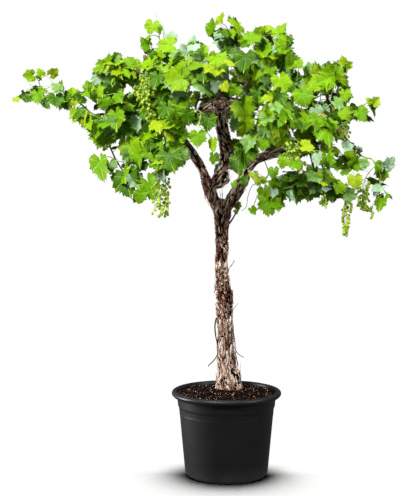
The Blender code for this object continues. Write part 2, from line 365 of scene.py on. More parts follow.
# Soil: bark compost, dark and crumbly, with chips lying every way and a few pale ones
soil = {
    "radius": 0.2112,
    "edgeHeight": 0.3545,
    "mound": 0.016,
    "depth": 0.05,
    "crumbs": 0.0035,
    "colourDark": "#020100",
    "colourLight": "#1C100A",
    "chips": [
        ("barkChipsDark", "shredded composted bark, dark", "#0D0704", 9500, 11, (0.45, 1.15)),
        ("barkChipsRed", "shredded composted bark, red brown", "#4C2A20", 4200, 12, (0.4, 1.1)),
        ("barkChipsPale", "weathered wood chips", "#AE9787", 1250, 13, (0.35, 1.0)),
        ("gritPale", "horticultural pumice grit", "#E6DFD6", 520, 14, (0.25, 0.65)),
    ],
}


def soilHeight(x, y):
    reach = math.hypot(x, y) / soil["radius"]
    mound = soil["mound"] * (1 - reach ** 1.6) if reach < 1 else 0
    lumps = soil["crumbs"] * (noise.noise(Vector((x * 30, y * 30, 0.3))) + 0.5 * noise.noise(Vector((x * 85, y * 85, 2))))
    return soil["edgeHeight"] + mound + lumps


def makeSoil():
    rings, sides = 34, 96
    points = [(0, 0, soilHeight(0, 0))]
    for row in range(1, rings + 1):
        reach = soil["radius"] * row / rings
        for side in range(sides):
            turn = 2 * math.pi * side / sides
            x, y = reach * math.cos(turn), reach * math.sin(turn)
            points.append((x, y, soilHeight(x, y)))
    faces = [(0, 1 + side, 1 + (side + 1) % sides) for side in range(sides)]
    for row in range(1, rings):
        inner, outer = 1 + (row - 1) * sides, 1 + row * sides
        for side in range(sides):
            beside = (side + 1) % sides
            faces.append((inner + side, outer + side, outer + beside, inner + beside))
    lower = len(points)
    for side in range(sides):
        turn = 2 * math.pi * side / sides
        points.append((0.206 * math.cos(turn), 0.206 * math.sin(turn), soil["edgeHeight"] - soil["depth"]))
    rim = 1 + (rings - 1) * sides
    for side in range(sides):
        beside = (side + 1) % sides
        faces.append((rim + side, lower + side, lower + beside, rim + beside))
    faces.append(tuple(reversed(range(lower, lower + sides))))
    obj = meshObject("compost", points, [], faces)

    compost, tree, shader = newMaterial("moist bark compost", {"Roughness": 0.93, "Specular IOR Level": 0.06})
    place = addNode(tree, "ShaderNodeTexCoord")
    # crumbs of 4 mm and fibres of 1.5 mm
    crumbs = addNode(tree, "ShaderNodeTexVoronoi", {"Scale": 250.0}, {"Vector": place.outputs["Object"]})
    fibres = addNode(tree, "ShaderNodeTexNoise", {"Scale": 600.0, "Detail": 3.0}, {"Vector": place.outputs["Object"]})
    blend = addNode(tree, "ShaderNodeMath", {"operation": "MULTIPLY"}, {0: crumbs.outputs["Color"], 1: fibres.outputs[0]})
    colour = addNode(tree, "ShaderNodeValToRGB", None, {0: blend.outputs[0]})
    colour.color_ramp.elements[0].position = 0.12
    colour.color_ramp.elements[0].color = linearColour(soil["colourDark"])
    colour.color_ramp.elements[1].position = 0.62
    colour.color_ramp.elements[1].color = linearColour(soil["colourLight"])
    tree.links.new(colour.outputs[0], shader.inputs["Base Color"])
    bump = addNode(tree, "ShaderNodeBump", {"Strength": 0.9, "Distance": 0.002}, {"Height": crumbs.outputs["Distance"]})
    tree.links.new(bump.outputs[0], shader.inputs["Normal"])
    obj.data.materials.append(compost)
    return obj


def chipBlanks():
    rng = random.Random(5)
    blanks = []
    for index in range(6):
        bm = bmesh.new()
        bmesh.ops.create_icosphere(bm, subdivisions=1, radius=1)
        length, width, thick = rng.uniform(6, 11), rng.uniform(2.2, 4.5), rng.uniform(1.0, 2.0)
        for vert in bm.verts:
            jitter = rng.uniform(0.7, 1.15)
            vert.co = Vector((vert.co.x * length, vert.co.y * width, vert.co.z * thick)) * jitter * 0.001
        mesh = bpy.data.meshes.new(f"chipBlank{index}")
        bm.to_mesh(mesh)
        bm.free()
        blanks.append(bpy.data.objects.new(f"chipBlank{index}", mesh))
    collection = bpy.data.collections.new("chip blanks")
    for blank in blanks:
        collection.objects.link(blank)
    return collection


def chipTree():
    # Strews chips over the upper side of a surface, each lying nearly flat at its own turn and size
    tree, inputs = newTree("strew chips", [
        ("Chips", "NodeSocketCollection", None), ("Density", "NodeSocketFloat", 1000.0),
        ("Smallest", "NodeSocketFloat", 0.5), ("Largest", "NodeSocketFloat", 1.0),
        ("Seed", "NodeSocketInt", 1), ("Finish", "NodeSocketMaterial", None)])
    normal = addNode(tree, "GeometryNodeInputNormal")
    upward = addNode(tree, "ShaderNodeSeparateXYZ", None, {0: normal.outputs[0]})
    top = addNode(tree, "FunctionNodeCompare", {"data_type": "FLOAT", "operation": "GREATER_THAN", 1: 0.5},
                  {0: upward.outputs["Z"]})
    strew = addNode(tree, "GeometryNodeDistributePointsOnFaces", None, {
        "Mesh": inputs.outputs["Geometry"], "Selection": top.outputs[0], "Density": inputs.outputs["Density"],
        "Seed": inputs.outputs["Seed"]})
    tilt = addNode(tree, "FunctionNodeRandomValue", {"data_type": "FLOAT_VECTOR", 0: (-0.55, -0.55, 0.0), 1: (0.55, 0.55, 6.28)},
                   {"Seed": inputs.outputs["Seed"]})
    turn = addNode(tree, "FunctionNodeEulerToRotation", None, {0: tilt.outputs[0]})
    size = addNode(tree, "FunctionNodeRandomValue", {"data_type": "FLOAT"}, {
        2: inputs.outputs["Smallest"], 3: inputs.outputs["Largest"], "Seed": inputs.outputs["Seed"]})
    blanks = addNode(tree, "GeometryNodeCollectionInfo", {"Separate Children": True, "Reset Children": True},
                     {"Collection": inputs.outputs["Chips"]})
    lay = addNode(tree, "GeometryNodeInstanceOnPoints", {"Pick Instance": True}, {
        "Points": strew.outputs["Points"], "Instance": blanks.outputs[0], "Rotation": turn.outputs[0],
        "Scale": size.outputs[1]})
    real = addNode(tree, "GeometryNodeRealizeInstances", None, {0: lay.outputs[0]})
    coat = addNode(tree, "GeometryNodeSetMaterial", None, {
        "Geometry": real.outputs[0], "Material": inputs.outputs["Finish"]})
    addNode(tree, "NodeGroupOutput", None, {0: coat.outputs[0]})
    return tree


def makeChips(surface):
    blanks = chipBlanks()
    tree = chipTree()
    for name, finishName, colour, density, seed, sizes in soil["chips"]:
        finish, finishTree, shader = newMaterial(finishName, {"Roughness": 0.85, "Specular IOR Level": 0.12})
        place = addNode(finishTree, "ShaderNodeTexCoord")
        # each chip takes its own shade from a 9 mm cell
        shade = addNode(finishTree, "ShaderNodeTexVoronoi", {"Scale": 110.0}, {"Vector": place.outputs["Object"]})
        level = addNode(finishTree, "ShaderNodeMapRange", {"To Min": 0.55, "To Max": 1.35}, {
            "Value": shade.outputs["Color"]})
        tint = addNode(finishTree, "ShaderNodeVectorMath", {"operation": "SCALE", 0: linearColour(colour)[:3]},
                       {"Scale": level.outputs[0]})
        finishTree.links.new(tint.outputs[0], shader.inputs["Base Color"])
        obj = bpy.data.objects.new(name, surface.data.copy())
        bpy.context.scene.collection.objects.link(obj)
        grown(obj, tree, {"Chips": blanks, "Density": float(density), "Smallest": sizes[0], "Largest": sizes[1],
                          "Seed": seed, "Finish": finish})
        settle(obj, "soil")
    dropCollection(blanks)


compostBed = makeSoil()
makeChips(compostBed)
settle(compostBed, "soil", "soil")
print("soil made")


# Limbs: the same knots as the solids, carried on into the leaves; each knot is its place and radius
limbs = {
    "trunk": [
        ((0.011, 0.047, 0.345), 0.060), ((0.010, 0.047, 0.378), 0.056), ((0.003, 0.046, 0.450), 0.041),
        ((-0.006, 0.045, 0.590), 0.036), ((-0.012, 0.045, 0.765), 0.037), ((-0.023, 0.045, 0.880), 0.027),
        ((-0.021, 0.045, 1.040), 0.028), ((-0.021, 0.045, 1.150), 0.038), ((-0.027, 0.045, 1.205), 0.026)],
    "leftBough": [
        ((-0.030, 0.045, 1.100), 0.018), ((-0.040, 0.045, 1.165), 0.025), ((-0.082, 0.040, 1.265), 0.025),
        ((-0.102, 0.033, 1.324), 0.018), ((-0.138, 0.022, 1.390), 0.019), ((-0.272, -0.018, 1.575), 0.011),
        ((-0.330, -0.050, 1.640), 0.008), ((-0.360, -0.080, 1.700), 0.006)],
    "headBough": [
        ((-0.080, 0.041, 1.245), 0.018), ((-0.040, 0.041, 1.290), 0.025), ((-0.012, 0.047, 1.355), 0.023),
        ((-0.004, 0.052, 1.432), 0.0265), ((-0.018, 0.052, 1.505), 0.0275), ((-0.026, 0.052, 1.562), 0.0255), ((-0.022, 0.050, 1.612), 0.034),
        ((-0.024, 0.050, 1.645), 0.020)],
    "headSpur": [
        ((-0.026, 0.046, 1.618), 0.026), ((-0.066, 0.038, 1.612), 0.024), ((-0.104, 0.030, 1.592), 0.019),
        ((-0.133, 0.022, 1.572), 0.011)],
    "headBurr": [
        ((-0.020, 0.050, 1.615), 0.024), ((0.012, 0.044, 1.606), 0.024), ((0.032, 0.042, 1.588), 0.013)],
    "rightBough": [
        ((-0.016, 0.045, 1.095), 0.018), ((-0.003, 0.045, 1.160), 0.026), ((0.042, 0.040, 1.236), 0.028),
        ((0.073, 0.035, 1.290), 0.025), ((0.094, 0.030, 1.338), 0.020), ((0.138, 0.018, 1.382), 0.019), ((0.215, 0.002, 1.402), 0.019),
        ((0.310, -0.018, 1.412), 0.014), ((0.400, -0.040, 1.445), 0.009), ((0.470, -0.050, 1.500), 0.006)],
    "backArm": [
        ((-0.024, 0.060, 1.600), 0.018), ((-0.030, 0.140, 1.625), 0.014), ((-0.020, 0.260, 1.680), 0.010)],
}
bark = {
    "stationStep": 0.006,
    "sides": 22,
    "voxel": 0.0026,
    "plateWidth": 0.0105,
    "plateLength": 0.046,
    "relief": 0.0064,
    "fibreWidth": 0.0028,
    # turns of the grain for each metre of limb, in radians
    "twist": {"trunk": 1.2, "leftBough": -4.0, "headBough": 9.0, "headSpur": 6.0, "headBurr": 8.0, "rightBough": 5.0,
              "backArm": 4.0},
    # knuckles and burrs: place, radius and squash
    "burrs": [
        ((0.043, 0.028, 0.425), 0.030, (0.8, 0.8, 1.2)), ((0.021, 0.045, 0.772), 0.015, (0.7, 0.9, 1.6)),
        ((0.010, 0.004, 0.405), 0.020, (1.0, 0.7, 1.4)), ((-0.022, 0.012, 0.395), 0.017, (0.8, 0.8, 1.5)), ((0.008, 0.030, 1.140), 0.017, (0.8, 1.0, 1.4)),
        ((-0.010, 0.040, 1.288), 0.021, (1.25, 1.0, 0.95)), ((-0.010, 0.042, 1.318), 0.020, (1, 1, 1)),
        ((-0.034, 0.036, 1.272), 0.023, (1, 1, 1)), ((-0.046, 0.030, 1.302), 0.018, (1, 1, 1)),
        ((0.012, 0.040, 1.395), 0.015, (1.0, 1.0, 1.5)), ((-0.030, 0.022, 1.610), 0.034, (1.1, 0.9, 0.9)),
        ((0.006, 0.026, 1.600), 0.021, (1, 1, 0.9)), ((0.026, 0.036, 1.583), 0.013, (1, 1, 1)),
        ((-0.072, 0.024, 1.600), 0.014, (1.6, 1, 0.9)), ((-0.024, 0.050, 1.642), 0.018, (1.2, 1, 0.8)),
        ((-0.030, 0.075, 1.625), 0.022, (1, 1, 1)), ((-0.094, 0.030, 1.318), 0.014, (1, 1, 1.3)),
        ((0.100, 0.022, 1.350), 0.014, (1, 1, 1)), ((0.182, 0.002, 1.414), 0.013, (1.4, 1, 1))],
    "toes": [(-150, 0.030), (-95, 0.036), (-40, 0.034), (25, 0.030), (80, 0.032), (140, 0.034)],
    "colours": {0.0: "#070402", 0.20: "#21120B", 0.38: "#5E3C2D", 0.54: "#97735F", 0.70: "#CDB39D", 0.90: "#F4E8DA"},
    "rust": "#93492F",
}


def smoothBetween(before, start, end, after, share):
    slopeOut = (end - before) / 2
    slopeIn = (after - start) / 2
    turn = share * share * (3 - 2 * share)
    leaving = slopeOut * (share * (1 - share) ** 2)
    arriving = slopeIn * (share * share * (1 - share))
    return start + (end - start) * turn + leaving - arriving


def smoothLine(knots, step):
    places = [Vector(place) for place, _ in knots]
    radii = [radius for _, radius in knots]
    last = len(knots) - 1
    line = []
    for index in range(last):
        span = [max(index - 1, 0), index, index + 1, min(index + 2, last)]
        steps = max(1, round((places[index + 1] - places[index]).length / step))
        for part in range(steps):
            line.append((smoothBetween(*(places[k] for k in span), part / steps),
                         smoothBetween(*(radii[k] for k in span), part / steps)))
    line.append((places[last], radii[last]))
    return line


def lineFrames(line):
    # the way along, and two steady cross directions, at every station
    places = [place for place, _ in line]
    across = Vector((1, 0, 0))
    frames = []
    for index in range(len(places)):
        along = (places[min(index + 1, len(places) - 1)] - places[max(index - 1, 0)]).normalized()
        across = (across - along * across.dot(along)).normalized()
        frames.append((along, across, along.cross(across)))
    return frames


def addTube(bm, line, sides):
    frames = lineFrames(line)
    rows = []
    for (place, radius), (along, across, upright) in zip(line, frames):
        row = []
        for side in range(sides):
            turn = 2 * math.pi * side / sides
            out = across * math.cos(turn) + upright * math.sin(turn)
            # old wood grows in flutes that wander slowly up the limb
            flute = 0.10 * noise.noise(Vector((math.cos(turn) * 1.6, math.sin(turn) * 1.6, place.z * 5)))
            lump = 0.08 * noise.noise(place * 22 + out * 1.2)
            row.append(bm.verts.new(place + out * radius * (1 + flute * 1.6 + lump)))
        rows.append(row)
    for lower, upper in zip(rows, rows[1:]):
        for side in range(sides):
            beside = (side + 1) % sides
            bm.faces.new((lower[side], lower[beside], upper[beside], upper[side]))
    bm.faces.new(list(reversed(rows[0])))
    bm.faces.new(rows[-1])


def hashed(cells, seed):
    # a repeatable random number from 0 to 1 for each whole-number cell
    x, y, z = (cells[..., axis].astype(np.int64) for axis in range(3))
    mixed = (x * 73856093) ^ (y * 19349663) ^ (z * 83492791) ^ (seed * 2654435761)
    mixed = (mixed ^ (mixed >> 13)) * 1274126177
    return ((mixed ^ (mixed >> 16)) & 0xFFFFFF) / float(0xFFFFFF)


def softNoise(points, seed):
    base = np.floor(points)
    part = points - base
    part = part * part * (3 - 2 * part)
    total = np.zeros(len(points))
    for dx in (0, 1):
        for dy in (0, 1):
            for dz in (0, 1):
                corner = hashed(base + np.array((dx, dy, dz)), seed)
                weight = (np.abs(1 - dx - part[:, 0]) * np.abs(1 - dy - part[:, 1]) * np.abs(1 - dz - part[:, 2]))
                total += corner * weight
    return total


def plates(points, seed):
    # distance to the nearest two cell middles, and the nearest cell's own number
    base = np.floor(points)
    nearest = np.full(len(points), 9.0)
    second = np.full(len(points), 9.0)
    number = np.zeros(len(points))
    for dx in (-1, 0, 1):
        for dy in (-1, 0, 1):
            for dz in (-1, 0, 1):
                cell = base + np.array((dx, dy, dz))
                middle = cell + np.stack([hashed(cell, seed + k) for k in range(3)], 1)
                gap = np.sqrt(((points - middle) ** 2).sum(1))
                closer = gap < nearest
                second = np.where(closer, nearest, np.minimum(second, gap))
                number = np.where(closer, hashed(cell, seed + 7), number)
                nearest = np.minimum(nearest, gap)
    return nearest, second, number


def ramp(values, low, high):
    share = np.clip((values - low) / (high - low), 0, 1)
    return share * share * (3 - 2 * share)


def makeBark():
    bm = bmesh.new()
    lines = {name: smoothLine(knots, bark["stationStep"]) for name, knots in limbs.items()}
    for line in lines.values():
        addTube(bm, line, bark["sides"])
    for place, radius, squash in bark["burrs"]:
        shape = Matrix.Translation(place) @ Matrix.Diagonal((*squash, 1))
        bmesh.ops.create_icosphere(bm, subdivisions=2, radius=radius, matrix=shape)
    for turn, reach in bark["toes"]:
        way = Vector((math.cos(math.radians(turn)), math.sin(math.radians(turn)), 0))
        foot = Vector((0.010, 0.047, 0))
        toe = [(foot + way * reach + Vector((0, 0, 0.445)), 0.010), (foot + way * (reach + 0.008) + Vector((0, 0, 0.405)), 0.016),
               (foot + way * (reach + 0.026) + Vector((0, 0, 0.350)), 0.015)]
        addTube(bm, smoothLine([(p, r) for p, r in toe], 0.008), 12)
    bmesh.ops.recalc_face_normals(bm, faces=bm.faces)
    mesh = bpy.data.meshes.new("vineBark")
    bm.to_mesh(mesh)
    bm.free()
    obj = bpy.data.objects.new("vineBark", mesh)
    bpy.context.scene.collection.objects.link(obj)
    union = obj.modifiers.new("union", "REMESH")
    union.mode = "VOXEL"
    union.voxel_size = bark["voxel"]
    union.use_smooth_shade = True
    ease = obj.modifiers.new("ease", "SMOOTH")
    ease.factor = 0.5
    ease.iterations = 8
    bpy.context.view_layer.update()
    result = bpy.data.meshes.new_from_object(obj.evaluated_get(bpy.context.evaluated_depsgraph_get()))
    obj.modifiers.clear()
    obj.data = result
    result.name = "vineBark"
    bpy.data.meshes.remove(mesh)
    return obj, lines


def straightened(points, lines):
    # for every vertex, its place along and round each limb, blended where limbs meet
    found = []
    for line in lines.values():
        places = np.array([place for place, _ in line])
        radii = np.array([radius for _, radius in line])
        frames = np.array([[list(v) for v in f] for f in lineFrames(line)])
        lengths = np.concatenate([[0], np.cumsum(np.linalg.norm(np.diff(places, axis=0), axis=1))])
        best = np.empty(len(points), int)
        for start in range(0, len(points), 8000):
            block = points[start:start + 8000]
            best[start:start + 8000] = ((block[:, None] - places[None]) ** 2).sum(2).argmin(1)
        offset = points - places[best]
        along = (offset * frames[best, 0]).sum(1)
        across = (offset * frames[best, 1]).sum(1)
        upright = (offset * frames[best, 2]).sum(1)
        clear = np.sqrt(across ** 2 + upright ** 2 + 1e-12) - radii[best]
        clear += np.maximum(0, np.abs(along) - 0.006)
        found.append((np.stack([across, upright, lengths[best] + along], 1), clear, frames[best, 0]))
    return found


def carveBark(obj, lines):
    mesh = obj.data
    count = len(mesh.vertices)
    points = np.empty(count * 3)
    mesh.vertices.foreach_get("co", points)
    points = points.reshape(-1, 3)
    normals = np.empty(count * 3)
    mesh.vertex_normals.foreach_get("vector", normals)
    normals = normals.reshape(-1, 3)
    found = straightened(points, lines)
    clear = np.stack([c for _, c, _ in found], 1)
    weights = np.exp(-(clear - clear.min(1, keepdims=True)) / 0.004)
    weights /= weights.sum(1, keepdims=True)
    owner = clear.argmin(1)
    height, crackDepth, tint = np.zeros(count), np.zeros(count), np.zeros(count)
    place = np.zeros((count, 3))
    along = np.zeros((count, 3))
    for index, (straight, _, facing) in enumerate(found):
        used = weights[:, index] > 0.02
        if not used.any():
            continue
        q = straight[used].copy()
        # plates on the old lower trunk are long
        q[:, 2] *= 1 - 0.42 * ramp(points[used][:, 2], 0.95, 0.55)
        turn = q[:, 2] * bark["twist"][list(lines)[index]] + 0.7 * np.sin(q[:, 2] * 19 + index)
        q[:, 0], q[:, 1] = (q[:, 0] * np.cos(turn) - q[:, 1] * np.sin(turn),
                            q[:, 0] * np.sin(turn) + q[:, 1] * np.cos(turn))
        q += index * 3.7
        for size, reach in ((0.045, 0.024), (0.018, 0.008)):
            across = q / (size, size, size * 2)
            q[:, 0] += (softNoise(across, 3) - 0.5) * reach
            q[:, 1] += (softNoise(across, 4) - 0.5) * reach
        wide = (bark["plateWidth"], bark["plateWidth"], bark["plateLength"])
        nearest, second, number = plates(q / wide, 20)
        crack = ramp(second - nearest, 0.05, 0.30)
        lift = 0.10 + 0.90 * number
        slope = 1 - nearest
        thin = (bark["fibreWidth"], bark["fibreWidth"], 0.045)
        fibre = softNoise(q / thin, 40)
        fineFibre = softNoise(q / (0.0013, 0.0013, 0.03), 60)
        ridge = crack * (lift + 0.35 * slope) + 0.42 * (fibre - 0.5) + 0.18 * (fineFibre - 0.5)
        share = weights[used, index]
        height[used] += share * ridge
        crackDepth[used] += share * np.clip(crack * (0.55 + 0.45 * fibre), 0, 1)
        tint[used] += share * (0.65 * number + 0.35 * fibre)
        place[used] += share[:, None] * q
        along[used] += share[:, None] * facing[used]
    # the lowest part has fewer dark cracks, so it is paler and smoother; the head has fewer too, a painted light that
    # lifts it, and the head is knobbly
    crackDepth += 0.08 * ramp(points[:, 2], 0.85, 0.45) + 0.12 * ramp(points[:, 2], 1.50, 1.58)
    slim = np.ones(count)
    slim[points[:, 2] < 0.41] = 0.85
    radiusHere = np.array([0.036, 0.022, 0.024, 0.015, 0.018, 0.020, 0.012])[owner]
    amount = bark["relief"] * np.clip(radiusHere / 0.030, 0.35, 1.15) * slim
    knobble = (softNoise(points / 0.018, 90) - 0.5) * 0.006 * ramp(points[:, 2], 1.54, 1.60)
    points = points + normals * (amount * (height - 0.62) + knobble)[:, None]
    mesh.vertices.foreach_set("co", points.ravel())
    addAttribute(mesh, "barkPlace", "FLOAT_VECTOR", place)
    addAttribute(mesh, "barkDepth", "FLOAT", crackDepth)
    addAttribute(mesh, "barkTint", "FLOAT", tint)
    addAttribute(mesh, "stripAlong", "FLOAT_VECTOR", along)
    mesh.update()


def barkFinish(name, loose):
    # Shaggy vine bark: dry and dull, bleached grey-tan on the plates, red brown where fresh, near black in the cracks,
    # partly the dark inner bark and partly painted shade
    finish, tree, shader = newMaterial(name, {"Roughness": 0.9, "Specular IOR Level": 0.05})
    place = addNode(tree, "ShaderNodeTexCoord")
    height = addNode(tree, "ShaderNodeSeparateXYZ", None, {0: place.outputs["Object"]})
    # the trunk is drawn paler towards its foot
    paleByHeightAndPaintedLight = addNode(tree, "ShaderNodeMapRange", {"From Min": 0.95, "From Max": 0.45, "To Min": -0.05, "To Max": 0.17},
                     {"Value": height.outputs["Z"]})
    # the limbs are drawn paler than the trunk, the head most of all: painted light that lifts the shade the crown casts
    # on them
    upper = addNode(tree, "ShaderNodeMapRange", {"From Min": 1.06, "From Max": 1.40, "To Min": 0.0, "To Max": 0.20},
                    {"Value": height.outputs["Z"]})
    paleByHeightAndPaintedLight = addNode(tree, "ShaderNodeMath", {"operation": "ADD"}, {0: paleByHeightAndPaintedLight.outputs[0], 1: upper.outputs[0]})
    if loose:
        grain = addNode(tree, "ShaderNodeMapping", {"Scale": (330, 330, 24)}, {"Vector": place.outputs["Object"]})
        tint = addNode(tree, "ShaderNodeTexNoise", {"Scale": 120.0, "Detail": 0.0}, {"Vector": place.outputs["Object"]}).outputs[0]
    else:
        along = addNode(tree, "ShaderNodeAttribute", {"attribute_name": "barkPlace"})
        grain = addNode(tree, "ShaderNodeMapping", {"Scale": (210, 210, 26)}, {"Vector": along.outputs["Vector"]})
        tint = addNode(tree, "ShaderNodeAttribute", {"attribute_name": "barkTint"}).outputs["Fac"]
    # fibres of 5 mm by 40 mm, drawn four times as coarse as the finest real ones
    fibres = addNode(tree, "ShaderNodeTexNoise", {"Scale": 1.0, "Detail": 3.0, "Roughness": 0.65}, {"Vector": grain.outputs[0]})
    strong = addNode(tree, "ShaderNodeMapRange", {"From Min": 0.36, "From Max": 0.66, "To Min": -0.05, "To Max": 0.68,
                                                  "clamp": False}, {"Value": fibres.outputs[0]})
    mixed = addNode(tree, "ShaderNodeMath", {"operation": "MULTIPLY_ADD", 1: 0.48}, {0: tint, 2: strong.outputs[0]})
    shade = addNode(tree, "ShaderNodeMath", {"operation": "ADD"}, {0: paleByHeightAndPaintedLight.outputs[0], 1: mixed.outputs[0]})
    top = addNode(tree, "ShaderNodeValToRGB", None, {0: shade.outputs[0]})
    stops = top.color_ramp.elements
    stops.remove(stops[1])
    for position, colour in bark["colours"].items():
        stop = stops.new(position) if position else stops[0]
        stop.color = linearColour(colour)
    # rusty patches 60 mm long, where a plate has lately come away
    patch = addNode(tree, "ShaderNodeMapping", {"Scale": (42, 42, 15)}, {"Vector": place.outputs["Object"]})
    rusty = addNode(tree, "ShaderNodeTexNoise", {"Scale": 1.0, "Detail": 2.0}, {"Vector": patch.outputs[0]})
    rustShare = addNode(tree, "ShaderNodeMapRange", {"From Min": 0.51, "From Max": 0.62, "To Min": 0.0, "To Max": 0.80},
                        {"Value": rusty.outputs[0]})
    stained = addNode(tree, "ShaderNodeMix", {"data_type": "RGBA", "blend_type": "MULTIPLY", 7: linearColour(bark["rust"])}, {
        0: rustShare.outputs[0], 6: top.outputs[0]})
    if loose:
        tree.links.new(stained.outputs[2], shader.inputs["Base Color"])
    else:
        # the cracks are drawn near black: partly the dark inner bark, partly painted shade in the crevices
        depth = addNode(tree, "ShaderNodeAttribute", {"attribute_name": "barkDepth"})
        open_ = addNode(tree, "ShaderNodeMapRange", {"From Min": 0.19, "From Max": 0.56}, {"Value": depth.outputs["Fac"]})
        skin = addNode(tree, "ShaderNodeMix", {"data_type": "RGBA", 6: linearColour(bark["colours"][0.0])}, {
            0: open_.outputs[0], 7: stained.outputs[2]})
        tree.links.new(skin.outputs[2], shader.inputs["Base Color"])
    bump = addNode(tree, "ShaderNodeBump", {"Strength": 0.9, "Distance": 0.0016}, {"Height": fibres.outputs[0]})
    tree.links.new(bump.outputs[0], shader.inputs["Normal"])
    return finish


barkSkin, limbLines = makeBark()
carveBark(barkSkin, limbLines)
barkMaterial = barkFinish("shaggy grapevine bark", False)
barkSkin.data.materials.clear()
barkSkin.data.materials.append(barkMaterial)
print("bark carved", len(barkSkin.data.polygons) * 2)


# Loose bark: long strips that lie along the limb, most of them peeling at an end
strips = {
    "density": 1250,
    "seed": 21,
    "smallest": 0.5,
    "largest": 1.15,
    # each blank: length, width, thickness, lift at each end in mm
    "blanks": [(74, 4.2, 1.2, 0.5, 1.5), (96, 3.2, 1.0, 1.0, 5.0), (58, 5.4, 1.4, 1.0, 2.5),
               (112, 2.2, 0.9, 2.0, 7.0), (44, 3.6, 1.1, 3.5, 0.5), (84, 2.6, 0.8, 0.5, 3.0)],
}


def stripBlanks():
    rng = random.Random(9)
    collection = bpy.data.collections.new("strip blanks")
    for index, (length, width, thick, liftStart, liftEnd) in enumerate(strips["blanks"]):
        points, faces = [], []
        rows = 6
        sway = rng.uniform(-2.0, 2.0)
        for row in range(rows + 1):
            share = row / rows
            x = (share - 0.5) * length
            lift = liftStart * max(0, 1 - share * 3.2) ** 2 + liftEnd * max(0, (share - 0.62) / 0.38) ** 2
            middle = sway * math.sin(share * math.pi * 1.4)
            half = width / 2 * (0.35 + 0.65 * math.sin(math.pi * min(max(share, 0.04), 0.96)) ** 0.5) * rng.uniform(0.85, 1.1)
            z = 0.2 + lift
            for side, down in ((-1, 0), (1, 0), (1, 1), (-1, 1)):
                points.append((x / 1000, (middle + side * half) / 1000, (z - down * thick + 0.25 * (down == 0)) / 1000))
        for row in range(rows):
            for side in range(4):
                beside = (side + 1) % 4
                a, b = row * 4 + side, row * 4 + beside
                faces.append((a, b, b + 4, a + 4))
        faces.append((3, 2, 1, 0))
        last = rows * 4
        faces.append((last, last + 1, last + 2, last + 3))
        mesh = bpy.data.meshes.new(f"stripBlank{index}")
        mesh.from_pydata(points, [], faces)
        bm = bmesh.new()
        bm.from_mesh(mesh)
        bmesh.ops.recalc_face_normals(bm, faces=bm.faces)
        bm.to_mesh(mesh)
        bm.free()
        collection.objects.link(bpy.data.objects.new(f"stripBlank{index}", mesh))
    return collection


def stripTree():
    # Lays strips on a surface, along the direction stored in its stripAlong attribute
    tree, inputs = newTree("lay bark strips", [
        ("Strips", "NodeSocketCollection", None), ("Density", "NodeSocketFloat", 1000.0),
        ("Smallest", "NodeSocketFloat", 0.5), ("Largest", "NodeSocketFloat", 1.0),
        ("Seed", "NodeSocketInt", 1), ("Finish", "NodeSocketMaterial", None)])
    strew = addNode(tree, "GeometryNodeDistributePointsOnFaces", {"distribute_method": "POISSON", "Distance Min": 0.009}, {
        "Mesh": inputs.outputs["Geometry"], "Density Max": inputs.outputs["Density"], "Seed": inputs.outputs["Seed"]})
    along = addNode(tree, "GeometryNodeInputNamedAttribute", {"data_type": "FLOAT_VECTOR", "Name": "stripAlong"})
    lead = addNode(tree, "FunctionNodeAlignRotationToVector", {"axis": "X"}, {"Vector": along.outputs[0]})
    stand = addNode(tree, "FunctionNodeAlignRotationToVector", {"axis": "Z", "pivot_axis": "X"}, {
        "Rotation": lead.outputs[0], "Vector": strew.outputs["Normal"]})
    sway = addNode(tree, "FunctionNodeRandomValue", {"data_type": "FLOAT_VECTOR", 0: (0.0, 0.0, -0.16), 1: (0.0, 0.0, 0.16)},
                   {"Seed": inputs.outputs["Seed"]})
    swayTurn = addNode(tree, "FunctionNodeEulerToRotation", None, {0: sway.outputs[0]})
    turned = addNode(tree, "FunctionNodeRotateRotation", {"rotation_space": "LOCAL"}, {
        0: stand.outputs[0], 1: swayTurn.outputs[0]})
    size = addNode(tree, "FunctionNodeRandomValue", {"data_type": "FLOAT"}, {
        2: inputs.outputs["Smallest"], 3: inputs.outputs["Largest"], "Seed": inputs.outputs["Seed"]})
    blanks = addNode(tree, "GeometryNodeCollectionInfo", {"Separate Children": True, "Reset Children": True},
                     {"Collection": inputs.outputs["Strips"]})
    lay = addNode(tree, "GeometryNodeInstanceOnPoints", {"Pick Instance": True}, {
        "Points": strew.outputs["Points"], "Instance": blanks.outputs[0], "Rotation": turned.outputs[0],
        "Scale": size.outputs[1]})
    real = addNode(tree, "GeometryNodeRealizeInstances", None, {0: lay.outputs[0]})
    coat = addNode(tree, "GeometryNodeSetMaterial", None, {
        "Geometry": real.outputs[0], "Material": inputs.outputs["Finish"]})
    addNode(tree, "NodeGroupOutput", None, {0: coat.outputs[0]})
    return tree


def makeStrips(surface):
    blanks = stripBlanks()
    obj = bpy.data.objects.new("looseBark", surface.data.copy())
    bpy.context.scene.collection.objects.link(obj)
    grown(obj, stripTree(), {"Strips": blanks, "Density": float(strips["density"]), "Smallest": strips["smallest"],
                             "Largest": strips["largest"], "Seed": strips["seed"],
                             "Finish": barkFinish("peeling strips of grapevine bark", True)})
    dropCollection(blanks)
    obj.data.attributes.remove(obj.data.attributes["barkPlace"])
    return obj


looseBark = makeStrips(barkSkin)
barkSkin.data.attributes.remove(barkSkin.data.attributes["stripAlong"])
settle(barkSkin, "bark", "trunk", "left_bough", "head_bough", "head_spur", "head_burr", "right_bough", "right_arm")
settle(looseBark, "bark")
print("loose bark laid")

